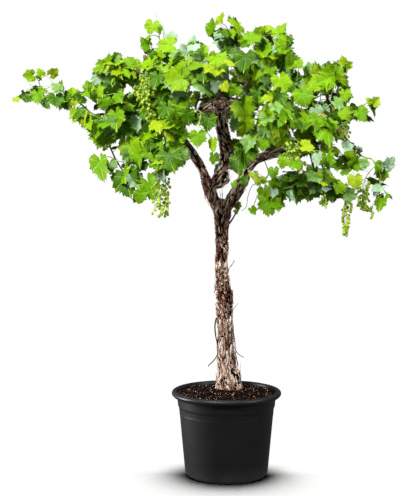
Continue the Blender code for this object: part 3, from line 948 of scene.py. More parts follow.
# Top of the vine: canes, shoots, leaf stalks and leaves grow on from the limbs by one seeded rule
crown = {
    "seed": 7,
    "leafCount": 1080,
    "smallestLeaf": 0.066,
    "largestLeaf": 0.122,
    # how thickly a mass is filled, where it isn't full
    "fill": {"left_tip": 0.10, "left_shoot": 0.22, "left_low": 0.22, "right_tip": 0.15, "top_sprig": 0.25, "right_sprig": 0.35,
             "right_hang": 0.45, "right_reach": 0.6, "top": 0.75},
    "leafGap": 0.035,
    "stalkShare": 0.62,
    "caneStep": 0.020,
    "undersideShown": 0.16,
    "woodyFrom": 16,
    # each mass of leaves and the mass or limb that its cane springs from
    "springsFrom": {
        "left_heart": "leftBough", "left_upper": "left_heart", "left_mid": "left_heart",
        "left_shoot": "left_mid", "left_tip": "left_shoot", "left_low": "left_mid", "left_front": "leftBough",
        "top_sprig": "left_heart", "head_left": "headSpur", "top": "headBough", "front": "headBough",
        "back": "backArm", "back_left": "backArm", "right_top": "headBurr", "right_inner": "rightBough",
        "right_crotch": "rightBough", "right_upper": "rightBough", "right_heart": "rightBough",
        "right_reach": "right_heart", "right_sprig": "right_heart", "right_tip": "right_reach",
        "right_under": "rightBough", "right_hang": "right_under", "front_right": "rightBough",
        "back_right": "backArm"},
}

# Sky that shows through the crown: middle and half size, in pixels of the photograph
skyGaps = [
    (107, 152, 6, 6), (126, 90, 4, 5), (86, 105, 6, 5), (103, 115, 6, 3), (118, 162, 5, 6), (146, 170, 9, 5),
    (165, 143, 5, 6), (197, 88, 7, 3), (204, 62, 3, 6), (238, 58, 4, 6), (236, 97, 4, 6), (229, 75, 3, 7),
    (252, 50, 3, 6), (275, 45, 4, 4), (187, 55, 3, 5), (175, 50, 3, 3), (188, 75, 3, 3), (260, 108, 7, 7),
    (277, 71, 2, 4), (283, 96, 3, 2), (294, 92, 3, 2), (303, 72, 4, 6), (316, 101, 3, 5), (327, 100, 3, 3),
    (297, 108, 4, 4), (255, 124, 4, 6), (274, 85, 3, 4), (266, 168, 10, 6), (301, 171, 7, 4), (293, 135, 4, 6),
    (316, 142, 3, 5), (338, 146, 5, 5), (343, 176, 6, 6), (361, 175, 7, 6), (297, 191, 3, 4), (317, 198, 5, 4),
    (206, 143, 6, 12), (204, 160, 5, 12), (212, 172, 4, 7), (189, 129, 5, 4), (227, 190, 8, 11), (239, 133, 5, 4),
    (253, 146, 2, 5), (107, 79, 3, 5), (245, 200, 9, 14), (262, 184, 5, 4), (181, 186, 14, 16), (335, 92, 2, 2),
    (98, 194, 12, 14), (112, 207, 16, 9), (84, 145, 8, 17), (89, 72, 5, 9), (357, 127, 6, 6), (358, 101, 6, 4), (363, 150, 6, 5), (156, 44, 4, 8), (216, 54, 8, 4), (205, 46, 3, 5), (90, 62, 5, 12), (122, 50, 16, 6), (204, 38, 6, 9),
    (216, 51, 8, 5), (318, 58, 22, 7), (355, 82, 8, 16), (297, 46, 6, 12), (368, 138, 17, 15), (371, 156, 10, 8), (40, 83, 8, 3),
    (70, 79, 9, 5), (104, 53, 9, 4), (171, 27, 10, 8), (159, 18, 5, 3), (184, 38, 7, 5), (217, 25, 3, 6),
    (227, 23, 3, 8), (246, 27, 5, 8), (89, 160, 5, 14), (109, 187, 8, 12), (125, 202, 9, 6), (138, 178, 4, 8),
    (258, 196, 5, 14), (391, 190, 7, 8), (369, 205, 5, 7), (394, 178, 8, 10), (300, 204, 12, 4), (156, 41, 4, 7), (390, 183, 5, 8),
    (275, 20, 20, 4), (250, 25, 8, 5), (60, 124, 12, 12), (192, 30, 10, 6)]

# Wood and bunches that show: nearer leaves keep off these; middle and half size in the same pixels, and depth
inView = [
    (214, 107, 18, 9, 0.05), (223, 140, 6, 32, 0.05), (201, 168, 12, 26, 0.05), (266, 158, 9, 5, 0.05),
    (236, 202, 9, 12, 0.05), (146, 86, 11, 15, -0.20), (150, 110, 6, 9, -0.20), (287, 149, 10, 11, -0.20)]

# Leaves that make the outline: middle u, v, size, way the tip points in degrees, turn about the midrib, tint
# a key leaf's tint also paints the light on it: deep where it sits in shade, pale or waxy where it catches a sheen
keyLeaves = {
    "left_tip": [
        (16.5, 100, 8, -60, 20, "young"), (29, 76, 13, 190, 20, "bright"), (40, 73, 10, 120, 30, "bright"),
        (39, 79, 8, -20, 50, "mid"), (54, 73, 12, 30, 62, "young"), (27, 97, 14, -38, 48, "deep")],
    "left_shoot": [
        (38, 97, 16, -82, 10, "mid"), (45, 103, 15, -65, 55, "deep"), (43, 91, 8, 120, 30, "bright"),
        (56, 88, 13, 145, 40, "waxy"), (62, 86, 12, 105, 40, "bright"), (56, 101, 18, -80, 25, "deep"),
        (66, 102, 20, -68, 20, "deep"), (73, 92, 11, 100, 20, "bright"), (80, 97, 14, 180, 50, "deep"),
        (76, 115, 14, -100, 0, "young"), (84, 118, 12, -70, 25, "bright"), (75, 104, 8, -90, 10, "young")],
    "left_upper": [
        (88, 86, 12, 110, 20, "mid"), (102, 66, 15, 180, 25, "bright"), (101, 77, 12, -90, 45, "young"),
        (96, 81, 11, -110, 30, "pale"), (109, 60, 13, 95, 45, "mid"), (111, 87, 20, -88, 20, "waxy"),
        (130, 77, 18, -90, 5, "bright"), (127, 65, 18, 175, 20, "mid"), (137, 64, 10, 80, 20, "bright"),
        (146, 65, 11, 120, 20, "bright")],
    "left_mid": [
        (97, 95, 18, -90, 10, "bright"), (115, 111, 14, -90, 0, "young"), (92, 123, 20, -100, 20, "deep"),
        (108, 126, 22, 175, 25, "waxy"), (100, 139, 24, -102, 15, "bright"), (128, 131, 17, -60, 10, "deep"),
        (120, 98, 14, -60, 30, "mid"), (104, 104, 15, -80, 30, "mid"), (138, 125, 18, -100, 25, "pale")],
    "left_low": [
        (101.5, 168, 29, -84, 48, "mid"), (110, 167, 15, -80, 30, "waxy"), (127.5, 183, 31, -74, 18, "deep"),
        (132, 151, 25, -70, 10, "bright"), (130, 157, 18, -75, 40, "waxy"), (141, 166, 14, -110, 40, "deep"),
        (151, 188, 27, -65, 20, "mid"), (140, 197, 15, -95, 5, "mid"), (135, 181, 19, -62, 40, "pale")],
    "left_front": [
        (154, 151, 25, -85, 10, "mid"), (170, 161, 26, -72, 10, "deep"), (181, 158, 20, -75, 20, "waxy"),
        (177, 147, 16, 10, 30, "mid"), (171, 137, 15, -60, 30, "young"), (149, 145, 12, -150, 20, "deep")],
    "top_sprig": [
        (152, 29, 15, -105, 10, "bright"), (159, 31, 11, -60, 35, "mid"), (146, 43, 14, 150, 45, "mid"),
        (146, 50, 11, 120, 35, "deep"), (154, 59, 16, -45, 60, "deep"), (172, 38, 12, 90, 10, "pale"),
        (167, 47, 20, 180, 15, "bright"), (146, 59, 8, 110, 30, "dried")],
    "head_left": [
        (185, 51, 14, 120, 20, "pale"), (193, 42, 13, 90, 40, "pale"), (201, 53, 19, 35, 15, "bright"),
        (215, 63, 17, -30, 10, "bright"), (176, 68, 16, 160, 20, "bright"), (190, 67, 16, -30, 20, "mid")],
    "top": [
        (212, 28, 18, 98, 52, "mid"), (221, 20, 14, 84, 45, "young"), (236, 28, 22, 126, 55, "bright"),
        (220, 35, 12, 70, 20, "deep"), (222, 43, 20, -100, 10, "pale"), (233, 36, 9, -60, 30, "bright"),
        (230, 53, 17, 60, 10, "deep"), (237, 60, 20, -120, 30, "waxy")],
    "front": [
        (176, 80, 27, -178, 10, "bright"), (178, 90, 22, -120, 35, "pale"), (157, 81, 18, -100, 20, "deep"),
        (202, 76, 22, -10, 10, "mid"), (203, 88, 23, -30, 25, "waxy"), (223, 78, 17, -90, 20, "pale"),
        (215, 88, 14, -80, 30, "pale"), (225, 88, 11, -60, 20, "young"), (234, 92, 14, -120, 25, "mid"),
        (186, 102, 20, -100, 30, "deep"), (175, 112, 22, -110, 30, "mid"), (188, 118, 18, -80, 20, "deep"),
        (208, 124, 18, -95, 15, "deep"), (213, 145, 15, -95, 40, "bright"), (213.5, 159, 13, -88, 45, "mid"),
        (195, 120, 13, -75, 20, "deep"), (198, 139, 18, -90, 10, "mid"), (164, 111, 16, -120, 10, "deep")],
    "right_top": [
        (253, 40, 19, 30, 15, "mid"), (258, 33, 12, 60, 50, "bright"), (245, 63, 23, -95, 15, "deep"),
        (284, 55, 17, 80, 15, "bright"), (269, 62, 18, -50, 20, "young"), (258, 68, 19, -100, 20, "waxy"),
        (278, 60, 18, -150, 15, "mid"), (262, 45, 14, -30, 20, "waxy"), (268, 33, 14, 90, 20, "young"),
        (263, 31, 9, 70, 30, "mid"), (277, 33, 13, 85, 15, "bright"), (284, 30, 12, 85, 35, "bright"),
        (284, 42, 13, -90, 30, "bright"), (278, 41, 11, -60, 20, "pale"), (269, 45, 15, -60, 60, "deep"),
        (281, 53, 22, 200, 15, "mid"), (290, 39, 5, -40, 20, "dried"), (271, 53, 9, 200, 20, "pale"),
        (244, 44, 13, -120, 25, "mid")],
    "right_upper": [
        (307, 69, 14, 95, 45, "waxy"), (299, 65, 11, 80, 20, "bright"), (292, 90, 13, -80, 25, "deep"), (313, 72, 12, 95, 40, "young"),
        (326, 75, 19, 170, 25, "bright"), (337, 73, 15, 60, 40, "mid"), (342, 62, 10, 120, 40, "young"),
        (348, 66, 8, 30, 20, "bright"), (342, 83, 11, -10, 20, "mid"), (344, 97, 13, -80, 15, "bright"),
        (325, 85, 20, -90, 25, "mid"), (310, 84, 18, -120, 20, "bright"), (316, 90, 14, -80, 50, "pale")],
    "right_heart": [
        (303, 99, 22, -70, 10, "mid"), (303, 124, 20, -60, 15, "bright"), (296, 118, 16, 170, 20, "waxy"),
        (316, 113, 14, -60, 10, "pale"), (338, 105, 16, -30, 30, "waxy"), (331, 131, 13, -80, 20, "dried"),
        (341, 134, 12, 30, 20, "dried"), (322, 117, 9, 10, 40, "dried"), (346, 128, 10, -60, 50, "deep")],
    "right_sprig": [
        (343, 115, 18, 170, 10, "bright"), (360.5, 116, 17, -45, 5, "mid"), (374, 102, 11, 45, 25, "young"),
        (367, 102, 8, 120, 40, "bright"), (352, 113, 12, -60, 20, "mid")],
    "right_reach": [
        (347, 147, 13, 10, 15, "pale"), (350, 156, 16, -30, 35, "bright"), (364, 164, 11, -10, 20, "waxy"),
        (345, 170, 12, 10, 15, "mid"), (356, 167, 16, -25, 45, "bright"), (354, 182, 16, -90, 10, "young"),
        (337, 166, 12, -90, 15, "mid"), (334, 153, 12, -60, 25, "bright")],
    "right_tip": [
        (387.5, 163, 16, 45, 42, "pale"), (381, 175.5, 14, -85, 20, "bright"), (376, 188, 13, 200, 30, "pale"),
        (381, 203, 20, -116, 52, "mid"), (389, 198, 6, -30, 50, "deep"), (383, 169, 9, 110, 60, "mid")],
    "right_under": [
        (350, 195, 15, -15, 10, "waxy"), (333, 195, 17, -95, 10, "deep"), (310, 193, 20, -100, 10, "mid"),
        (322, 188, 18, -60, 20, "mid"), (290, 190, 27, -95, 10, "deep"), (296, 194, 22, -75, 35, "deep"),
        (291, 196, 13, -65, 60, "pale"), (327, 187, 10, -30, 20, "pale"), (304, 180, 18, 10, 20, "deep")],
    "right_hang": [
        (269, 204, 26, -85, 10, "mid"), (264, 194, 17, -85, 30, "bright"), (273, 193, 11, -90, 10, "pale"),
        (276, 205, 18, -80, 35, "mid"), (253, 211, 10, -50, 30, "mid"), (257, 178, 18, -58, 62, "young"),
        (273, 173, 13, -100, 20, "mid"), (263, 181, 10, 0, 30, "bright")],
    "right_inner": [
        (236, 125, 16, -120, 25, "waxy"), (262, 128, 16, -130, 20, "deep"), (258, 98, 20, -80, 20, "deep"),
        (243, 134, 12, -80, 30, "young")],
    "right_crotch": [
        (238, 206, 9, -75, 20, "young"), (216, 168, 11, -100, 50, "pale"), (236, 212, 6, -50, 30, "bright")],
    "front_right": [
        (244, 110, 25, -65, 15, "bright"), (245, 126, 20, -92, 25, "bright"), (244, 155, 24, -80, 20, "deep"),
        (238, 165, 20, -95, 20, "deep"), (252, 154, 16, -70, 30, "mid"), (249, 145, 17, -120, 20, "waxy"),
        (243.5, 181, 12, -85, 40, "deep"), (234, 185, 8, -60, 20, "mid"),
        (272, 111, 18, -60, 10, "mid"), (280, 128, 16, -40, 15, "deep"), (280, 140, 17, -130, 10, "bright"),
        (262, 145, 15, -90, 15, "mid"), (281, 85, 22, -70, 15, "bright"), (277, 99, 18, -120, 25, "deep"),
        (283, 163, 14, -100, 20, "bright"), (295, 165, 17, -60, 20, "mid"), (317, 159, 14, -95, 45, "pale"),
        (327, 161, 18, -80, 20, "mid"), (307, 147, 15, 0, 15, "young")],
}

tints = {
    # upper side, underside and how much the upper side shines; the youngest are yellow, the oldest near blue green;
    # deep also stands in for shade as painted shade, and pale and waxy also stand in for a whitish sheen as painted
    # sheen
    "young": ("#98B208", "#9BB422", 0.15),
    "bright": ("#82B000", "#88AE1C", 0.16),
    "mid": ("#6AA000", "#749C1C", 0.16),
    "deep": ("#407000", "#567E18", 0.20),
    "waxy": ("#72A045", "#8AAE6A", 0.34),
    "pale": ("#9ABE94", "#A8C6A4", 0.34),
    "dried": ("#8C7A2E", "#B9A36A", 0.12),
}
veinColour = "#B2C860"


def toWorld(u, v, depth):
    reach = (4.015 + depth) / 920
    return Vector(((u - 226.6) * reach, depth, 1.153 - (v - 211) * reach))


def toPhoto(place):
    reach = (4.015 + place.y) / 920
    return 226.6 + place.x / reach, 211 - (place.z - 1.153) / reach


def inSky(place, spare):
    u, v = toPhoto(place)
    margin = spare / (4.015 + place.y) * 920
    return any(((u - gu) / (ru + margin)) ** 2 + ((v - gv) / (rv + margin)) ** 2 < 1 for gu, gv, ru, rv in skyGaps)


def hidesKept(place, spare):
    u, v = toPhoto(place)
    margin = spare / (4.015 + place.y) * 920
    return any(place.y < depth and ((u - wu) / (ru + margin)) ** 2 + ((v - wv) / (rv + margin)) ** 2 < 1
               for wu, wv, ru, rv, depth in inView)


def perpendicular(vector, way):
    return (vector - way * vector.dot(way)).normalized()


def anyWay(rng):
    return Vector((rng.gauss(0, 1), rng.gauss(0, 1), rng.gauss(0, 1))).normalized()


class Vine:
    # Every cane and shoot is a run of points, each knowing the point that it grew from
    def __init__(self):
        self.places, self.parents, self.loads, self.homes = [], [], [], []

    def add(self, place, parent, home):
        self.places.append(place)
        self.parents.append(parent)
        self.loads.append(0)
        self.homes.append(home)
        return len(self.places) - 1

    def nearest(self, target, homes):
        best, gap = None, 9.0
        for index, place in enumerate(self.places):
            if self.homes[index] in homes:
                distance = (place - target).length
                if distance < gap:
                    best, gap = index, distance
        return best, gap

    def extend(self, start, target, home, rng, arch):
        # a curved run from one point to another, leaving the way its parent grows
        begin = self.places[start]
        length = (target - begin).length
        before = self.parents[start]
        way = (begin - self.places[before]).normalized() if before >= 0 else (target - begin).normalized()
        bend = begin + way * length * 0.25 + (target - begin) * 0.35 + Vector((0, 0, arch * length))
        bend += anyWay(rng) * length * 0.07
        steps = max(1, round(length / crown["caneStep"]))
        last = start
        for step in range(1, steps + 1):
            share = step / steps
            place = begin * (1 - share) ** 2 + bend * 2 * share * (1 - share) + target * share ** 2
            last = self.add(place, last, home)
        return last

    def load(self, index):
        while index >= 0:
            self.loads[index] += 1
            index = self.parents[index]

    def runs(self):
        # splits the whole into unbroken runs, each carrying on along its most laden branch
        children = {}
        for index, parent in enumerate(self.parents):
            if parent >= 0:
                children.setdefault(parent, []).append(index)
        starts = [(p, c) for p, kids in children.items() for c in sorted(kids, key=lambda k: -self.loads[k])[1:]]
        starts += [(-1, index) for index, parent in enumerate(self.parents) if parent < 0]
        for parent, index in starts:
            run = [parent] if parent >= 0 else []
            while index is not None:
                run.append(index)
                kids = children.get(index)
                index = max(kids, key=lambda k: self.loads[k]) if kids else None
            if len(run) > 1 and self.loads[run[1]] > 0:
                yield run


def growCrown():
    vine = Vine()
    for name, line in limbLines.items():
        if name != "trunk":
            last = -1
            for place, _ in line[len(line) // 3::3]:
                last = vine.add(place, -1, name)
    masses = {name: [Vector(corner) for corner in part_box("leaves_" + name)] for name in crown["springsFrom"]}
    middles = {name: (low + high) / 2 for name, (low, high) in masses.items()}
    halves = {name: (high - low) / 2 for name, (low, high) in masses.items()}
    skins = {name: h.x * h.y + h.y * h.z + h.x * h.z for name, h in halves.items()}
    skinSum = sum(skins.values())
    axis = Vector((0.0, 0.05, 1.62))
    leaves, stalks = [], []
    keyCount = 0
    for name, source in crown["springsFrom"].items():
        rng = random.Random(f"{name} {crown['seed']}")
        middle, half = middles[name], halves[name]
        start, _ = vine.nearest(middle, (source,))
        vine.extend(start, middle, name, rng, 0.10)
        wanted = []
        for u, v, size, pointing, turn, tint in keyLeaves.get(name, []):
            own = random.Random(f"{u} {v}")
            depth = middle.y - half.y * own.uniform(0.15, 0.75)
            while hidesKept(toWorld(u, v, depth), 0) and depth < 0.1:
                depth += 0.02
            scale = size * (4.015 + depth) / 920
            angle = math.radians(pointing)
            tip = Vector((math.cos(angle), -own.uniform(-0.25, 0.40), math.sin(angle))).normalized()
            face = perpendicular(Vector((own.uniform(-0.25, 0.1), -1, own.uniform(0.0, 0.45))), tip)
            face = Matrix.Rotation(math.radians(turn * own.choice((-1, 1))), 3, tip) @ face
            wanted.append((toWorld(u, v, depth), tip, face, scale, tint, own.choice((0, 1, 1, 2, 5))))
            keyCount += 1
        count = round(crown["leafCount"] * skins[name] / skinSum * crown["fill"].get(name, 1))
        tries = 0
        made = []
        while len(made) < count and tries < count * 60:
            tries += 1
            way = anyWay(rng)
            reach = rng.uniform(0.35, 1.0) ** 0.6
            scale = rng.uniform(crown["smallestLeaf"], crown["largestLeaf"]) * (1.12 - 0.30 * reach)
            shrunk = Vector([max(h - scale * 0.30, h * 0.45) for h in half])
            place = middle + Vector([w * s * reach for w, s in zip(way, shrunk)])
            if inSky(place, scale * 0.34) or hidesKept(place, scale * 0.40):
                continue
            if any((place - other[0]).length < crown["leafGap"] for other in wanted + made):
                continue
            if any((place - other[0]).length < crown["leafGap"] * 0.8 for other in leaves[-260:]):
                continue
            away = (place - axis)
            away.z *= 0.5
            outward = (way * 0.55 + away.normalized() * 0.55 + Vector((0, 0, 0.75)) + anyWay(rng) * 0.50).normalized()
            droop = way * 0.5 + Vector((0, 0, -0.85)) + anyWay(rng) * 0.55
            tip = perpendicular(droop, outward)
            if rng.random() < crown["undersideShown"]:
                outward = -outward
            made.append((place, tip, outward, scale, None, rng.randrange(6)))
        wanted += made
        wanted.sort(key=lambda item: (item[0] - middle).length)
        homes = (name,)
        sprayTint = {}
        for place, tip, face, scale, tint, blank in wanted:
            base = place - tip * scale * 0.22
            stalk = scale * crown["stalkShare"] * rng.uniform(0.8, 1.25)
            node, gap = vine.nearest(base, homes)
            if gap > stalk * 1.3:
                away = (vine.places[node] - base).normalized()
                stop = base + (away + Vector((0, 0, 0.25))).normalized() * stalk
                node = vine.extend(node, stop, name, rng, 0.05)
            vine.load(node)
            spray = node // 9
            if spray not in sprayTint:
                high = (place.z - 1.15) / 0.85
                sprayTint[spray] = rng.choices(
                    ("young", "bright", "mid", "deep", "waxy", "pale"),
                    (0.5 + high, 2.4 + high, 3.6, 2.2 - 0.9 * high, 1.4, 0.5))[0]
            if tint is None:
                tint = sprayTint[spray]
                if rng.random() < 0.38:
                    tint = rng.choices(("young", "bright", "mid", "deep", "waxy", "pale", "dried"),
                                       (1.2, 3, 3, 2, 1.4, 0.9, 0.15))[0]
            stalks.append((vine.places[node], base, tip, face, scale))
            leaves.append((base, tip, face, scale, tint, blank))
    print(f"  {keyCount} leaves of the outline, {len(leaves)} in all, {len(vine.places)} cane points")
    return vine, leaves, stalks


def runObject(name, runs):
    # each run is a list of (place, radius)
    points, edges, radii = [], [], []
    for run in runs:
        for index, (place, radius) in enumerate(run):
            if index:
                edges.append((len(points) - 1, len(points)))
            points.append(place)
            radii.append(radius)
    obj = meshObject(name, points, edges, [])
    addAttribute(obj.data, "caneRadius", "FLOAT", radii)
    return obj


def caneTree():
    # Turns runs of edges into round stems whose thickness is stored in caneRadius
    tree, inputs = newTree("round stems", [
        ("Sides", "NodeSocketInt", 6), ("Finish", "NodeSocketMaterial", None)])
    radius = addNode(tree, "GeometryNodeInputNamedAttribute", {"data_type": "FLOAT", "Name": "caneRadius"})
    line = addNode(tree, "GeometryNodeMeshToCurve", None, {0: inputs.outputs["Geometry"]})
    thick = addNode(tree, "GeometryNodeSetCurveRadius", None, {"Curve": line.outputs[0], "Radius": radius.outputs[0]})
    ring = addNode(tree, "GeometryNodeCurvePrimitiveCircle", {"Radius": 1.0}, {"Resolution": inputs.outputs["Sides"]})
    tube = addNode(tree, "GeometryNodeCurveToMesh", {"Fill Caps": True}, {
        "Curve": thick.outputs[0], "Profile Curve": ring.outputs[0], "Scale": radius.outputs[0]})
    smooth = addNode(tree, "GeometryNodeSetShadeSmooth", None, {"Geometry": tube.outputs[0]})
    real = addNode(tree, "GeometryNodeRealizeInstances", None, {0: smooth.outputs[0]})
    coat = addNode(tree, "GeometryNodeSetMaterial", None, {
        "Geometry": real.outputs[0], "Material": inputs.outputs["Finish"]})
    addNode(tree, "NodeGroupOutput", None, {0: coat.outputs[0]})
    return tree


# Half of a vine leaf: angle from the midrib, reach, and whether the blade also bends there
leafShape = {
    "halfOutline": [
        (1.2, 0.870, True), (7, 0.725, False), (11, 0.780, False), (16, 0.650, False), (21, 0.705, False),
        (30, 0.570, True), (36, 0.645, False), (40, 0.590, False), (46, 0.690, False), (52.0, 0.715, True),
        (54.4, 0.705, True), (60, 0.595, False), (66, 0.660, False), (74, 0.535, False), (83, 0.505, True),
        (89, 0.575, False), (96, 0.520, False), (104.8, 0.590, True), (107.6, 0.585, True), (114, 0.490, False),
        (122, 0.530, False), (132, 0.430, False), (142, 0.460, False), (153, 0.340, True), (168, 0.180, False)],
    "bendAt": 0.52,
    "thickness": 0.0055,
    # each blank: fold along the midrib, droop of the tip, curl of the sides, ripple, quilting between the veins
    "blanks": [
        (0.26, 0.28, 0.20, 0.070, 0.060), (0.50, 0.32, 0.30, 0.060, 0.060), (0.80, 0.36, 0.16, 0.060, 0.045),
        (-0.22, 0.50, 0.45, 0.090, 0.055), (0.34, 0.64, -0.34, 0.100, 0.055), (0.62, -0.14, 0.58, 0.075, 0.045)],
}


def leafBlanks():
    # closed blades: the upper side, underside and veins are told apart by leafSide on their faces
    rng = random.Random(3)
    collection = bpy.data.collections.new("leaf blanks")
    half = [(math.radians(angle), reach / 1.15, bent) for angle, reach, bent in leafShape["halfOutline"]]
    rim = [(-angle, reach, bent) for angle, reach, bent in reversed(half)] + half
    for index, (fold, droop, curl, ripple, quilt) in enumerate(leafShape["blanks"]):
        skew = rng.uniform(-0.14, 0.14)
        uneven = [rng.uniform(-0.07, 0.06) for _ in rim]

        def shaped(angle, reach, lift):
            x, y = math.sin(angle) * reach, math.cos(angle) * reach
            x += skew * y * abs(y)
            z = fold * abs(x) - droop * abs(y) * y - curl * x * x * 1.8
            z += ripple * math.sin(angle * 4.5 + index * 1.3) * reach * 1.4
            return (x, y, z + lift)

        points = [(0, 0, 0)]
        points += [shaped(angle, reach * (1 + change), 0) for (angle, reach, _), change in zip(rim, uneven)]
        bends = [place for place, (_, _, bent) in enumerate(rim) if bent]
        upper, lower = {}, {}
        for place in bends:
            angle, reach, _ = rim[place]
            degrees = abs(math.degrees(angle))
            raised = quilt if 20 < degrees % 180 < 45 or 75 < degrees < 90 else 0
            for side, store in ((1, upper), (-1, lower)):
                store[place] = len(points)
                points.append(shaped(angle, reach * leafShape["bendAt"], side * leafShape["thickness"] + raised))
        faces, sides = [], []
        for here, there in zip(bends, bends[1:]):
            veined = abs(rim[there][0] - rim[here][0]) < math.radians(3.5)
            chain = [1 + place for place in range(here, there + 1)]
            faces += [(0, upper[there], upper[here]), (0, lower[here], lower[there])]
            faces += [(upper[here], upper[there], *reversed(chain)), (lower[there], lower[here], *chain)]
            sides += [2 if veined else 0, 1, 2 if veined else 0, 1]
        first, last = bends[0], bends[-1]
        firstChain = [1 + place for place in range(first + 1)]
        lastChain = [1 + place for place in range(last, len(rim))]
        faces += [(0, upper[first], *reversed(firstChain)), (0, *firstChain, lower[first])]
        faces += [(0, *reversed(lastChain), upper[last]), (0, lower[last], *lastChain)]
        sides += [0, 1, 0, 1]
        mesh = bpy.data.meshes.new(f"leafBlank{index}")
        mesh.from_pydata(points, [], faces, shade_flat=False)
        sideAttribute = mesh.attributes.new("leafSide", "INT", "FACE")
        sideAttribute.data.foreach_set("value", sides)
        rimPoints = set(range(0, len(rim) + 1))
        for edge in mesh.edges:
            edge.use_edge_sharp = edge.vertices[0] in rimPoints and edge.vertices[1] in rimPoints
        collection.objects.link(bpy.data.objects.new(f"leafBlank{index}", mesh))
    return collection


def leafTree():
    # Sets a leaf on every point, turned, sized and picked by the point's attributes
    tree, inputs = newTree("set leaves", [
        ("Blades", "NodeSocketCollection", None), ("Upper side", "NodeSocketMaterial", None),
        ("Underside", "NodeSocketMaterial", None), ("Veins", "NodeSocketMaterial", None)])
    turn = addNode(tree, "GeometryNodeInputNamedAttribute", {"data_type": "FLOAT_VECTOR", "Name": "leafTurn"})
    size = addNode(tree, "GeometryNodeInputNamedAttribute", {"data_type": "FLOAT", "Name": "leafSize"})
    kind = addNode(tree, "GeometryNodeInputNamedAttribute", {"data_type": "INT", "Name": "leafKind"})
    facing = addNode(tree, "FunctionNodeEulerToRotation", None, {0: turn.outputs[0]})
    blades = addNode(tree, "GeometryNodeCollectionInfo", {"Separate Children": True, "Reset Children": True},
                     {"Collection": inputs.outputs["Blades"]})
    lay = addNode(tree, "GeometryNodeInstanceOnPoints", {"Pick Instance": True}, {
        "Points": inputs.outputs["Geometry"], "Instance": blades.outputs[0], "Instance Index": kind.outputs[0],
        "Rotation": facing.outputs[0], "Scale": size.outputs[0]})
    real = addNode(tree, "GeometryNodeRealizeInstances", None, {0: lay.outputs[0]})
    side = addNode(tree, "GeometryNodeInputNamedAttribute", {"data_type": "INT", "Name": "leafSide"})
    flow = real.outputs[0]
    for number, socketName in enumerate(("Upper side", "Underside", "Veins")):
        chosen = addNode(tree, "FunctionNodeCompare", {"data_type": "INT", "operation": "EQUAL", 3: number}, {2: side.outputs[0]})
        coat = addNode(tree, "GeometryNodeSetMaterial", None, {
            "Geometry": flow, "Selection": chosen.outputs[0], "Material": inputs.outputs[socketName]})
        flow = coat.outputs[0]
    addNode(tree, "NodeGroupOutput", None, {0: flow})
    return tree


def leafFinish(name, colour, roughness, shine):
    # vine leaves are matt with a soft broad shine where they face the sky, and hardly any on the downy underside
    finish, tree, shader = newMaterial(name, {
        "Base Color": linearColour(colour), "IOR": 1.42, "Specular IOR Level": shine})
    place = addNode(tree, "ShaderNodeTexCoord")
    # puckers between the smallest veins, drawn at 12 mm where the real ones are 5 mm
    pucker = addNode(tree, "ShaderNodeTexNoise", {"Scale": 85.0, "Detail": 2.5}, {"Vector": place.outputs["Object"]})
    dull = addNode(tree, "ShaderNodeMapRange", {
        "From Min": 0.3, "From Max": 0.7, "To Min": roughness - 0.08, "To Max": roughness + 0.08}, {
        "Value": pucker.outputs[0]})
    tree.links.new(dull.outputs[0], shader.inputs["Roughness"])
    bump = addNode(tree, "ShaderNodeBump", {"Strength": 0.75, "Distance": 0.005}, {"Height": pucker.outputs[0]})
    tree.links.new(bump.outputs[0], shader.inputs["Normal"])
    return finish


def makeLeaves(leaves):
    blanks = leafBlanks()
    tree = leafTree()
    veins = leafFinish("leaf veins", veinColour, 0.6, 0.2)
    names = list(crown["springsFrom"])
    for position, (tint, (upperColour, underColour, shine)) in enumerate(tints.items()):
        chosen = [leaf for leaf in leaves if leaf[4] == tint]
        title = tint.capitalize()
        obj = meshObject("leaves" + title, [leaf[0] for leaf in chosen], [], [])
        turns = []
        for _, tip, face, _, _, _ in chosen:
            across = tip.cross(face)
            turns.append(Matrix((across, tip, face)).transposed().to_euler())
        addAttribute(obj.data, "leafTurn", "FLOAT_VECTOR", [tuple(turn) for turn in turns])
        addAttribute(obj.data, "leafSize", "FLOAT", [leaf[3] for leaf in chosen])
        addAttribute(obj.data, "leafKind", "INT", [leaf[5] for leaf in chosen])
        grown(obj, tree, {
            "Blades": blanks, "Upper side": leafFinish(f"vine leaf, {tint}", upperColour, 0.40, shine),
            "Underside": leafFinish(f"vine leaf underside, {tint}", underColour, 0.8, 0.12), "Veins": veins})
        replaced = ["leaves_" + name for name in names[position::len(tints)]]
        settle(obj, "foliage", *replaced)
    dropCollection(blanks)


def stemFinish(name, colour, darker, scale):
    # green shoots are smooth and faintly ribbed; canes are brown, matt and striped lengthwise
    finish, tree, shader = newMaterial(name, {"Roughness": 0.6, "Specular IOR Level": 0.35})
    place = addNode(tree, "ShaderNodeTexCoord")
    streaks = addNode(tree, "ShaderNodeTexNoise", {"Scale": scale, "Detail": 2.0}, {"Vector": place.outputs["Object"]})
    level = addNode(tree, "ShaderNodeMapRange", {"From Min": 0.35, "From Max": 0.65}, {"Value": streaks.outputs[0]})
    blend = addNode(tree, "ShaderNodeMix", {"data_type": "RGBA", 6: linearColour(darker), 7: linearColour(colour)}, {
        0: level.outputs[0]})
    tree.links.new(blend.outputs[2], shader.inputs["Base Color"])
    bump = addNode(tree, "ShaderNodeBump", {"Strength": 0.5, "Distance": 0.0006}, {"Height": streaks.outputs[0]})
    tree.links.new(bump.outputs[0], shader.inputs["Normal"])
    return finish


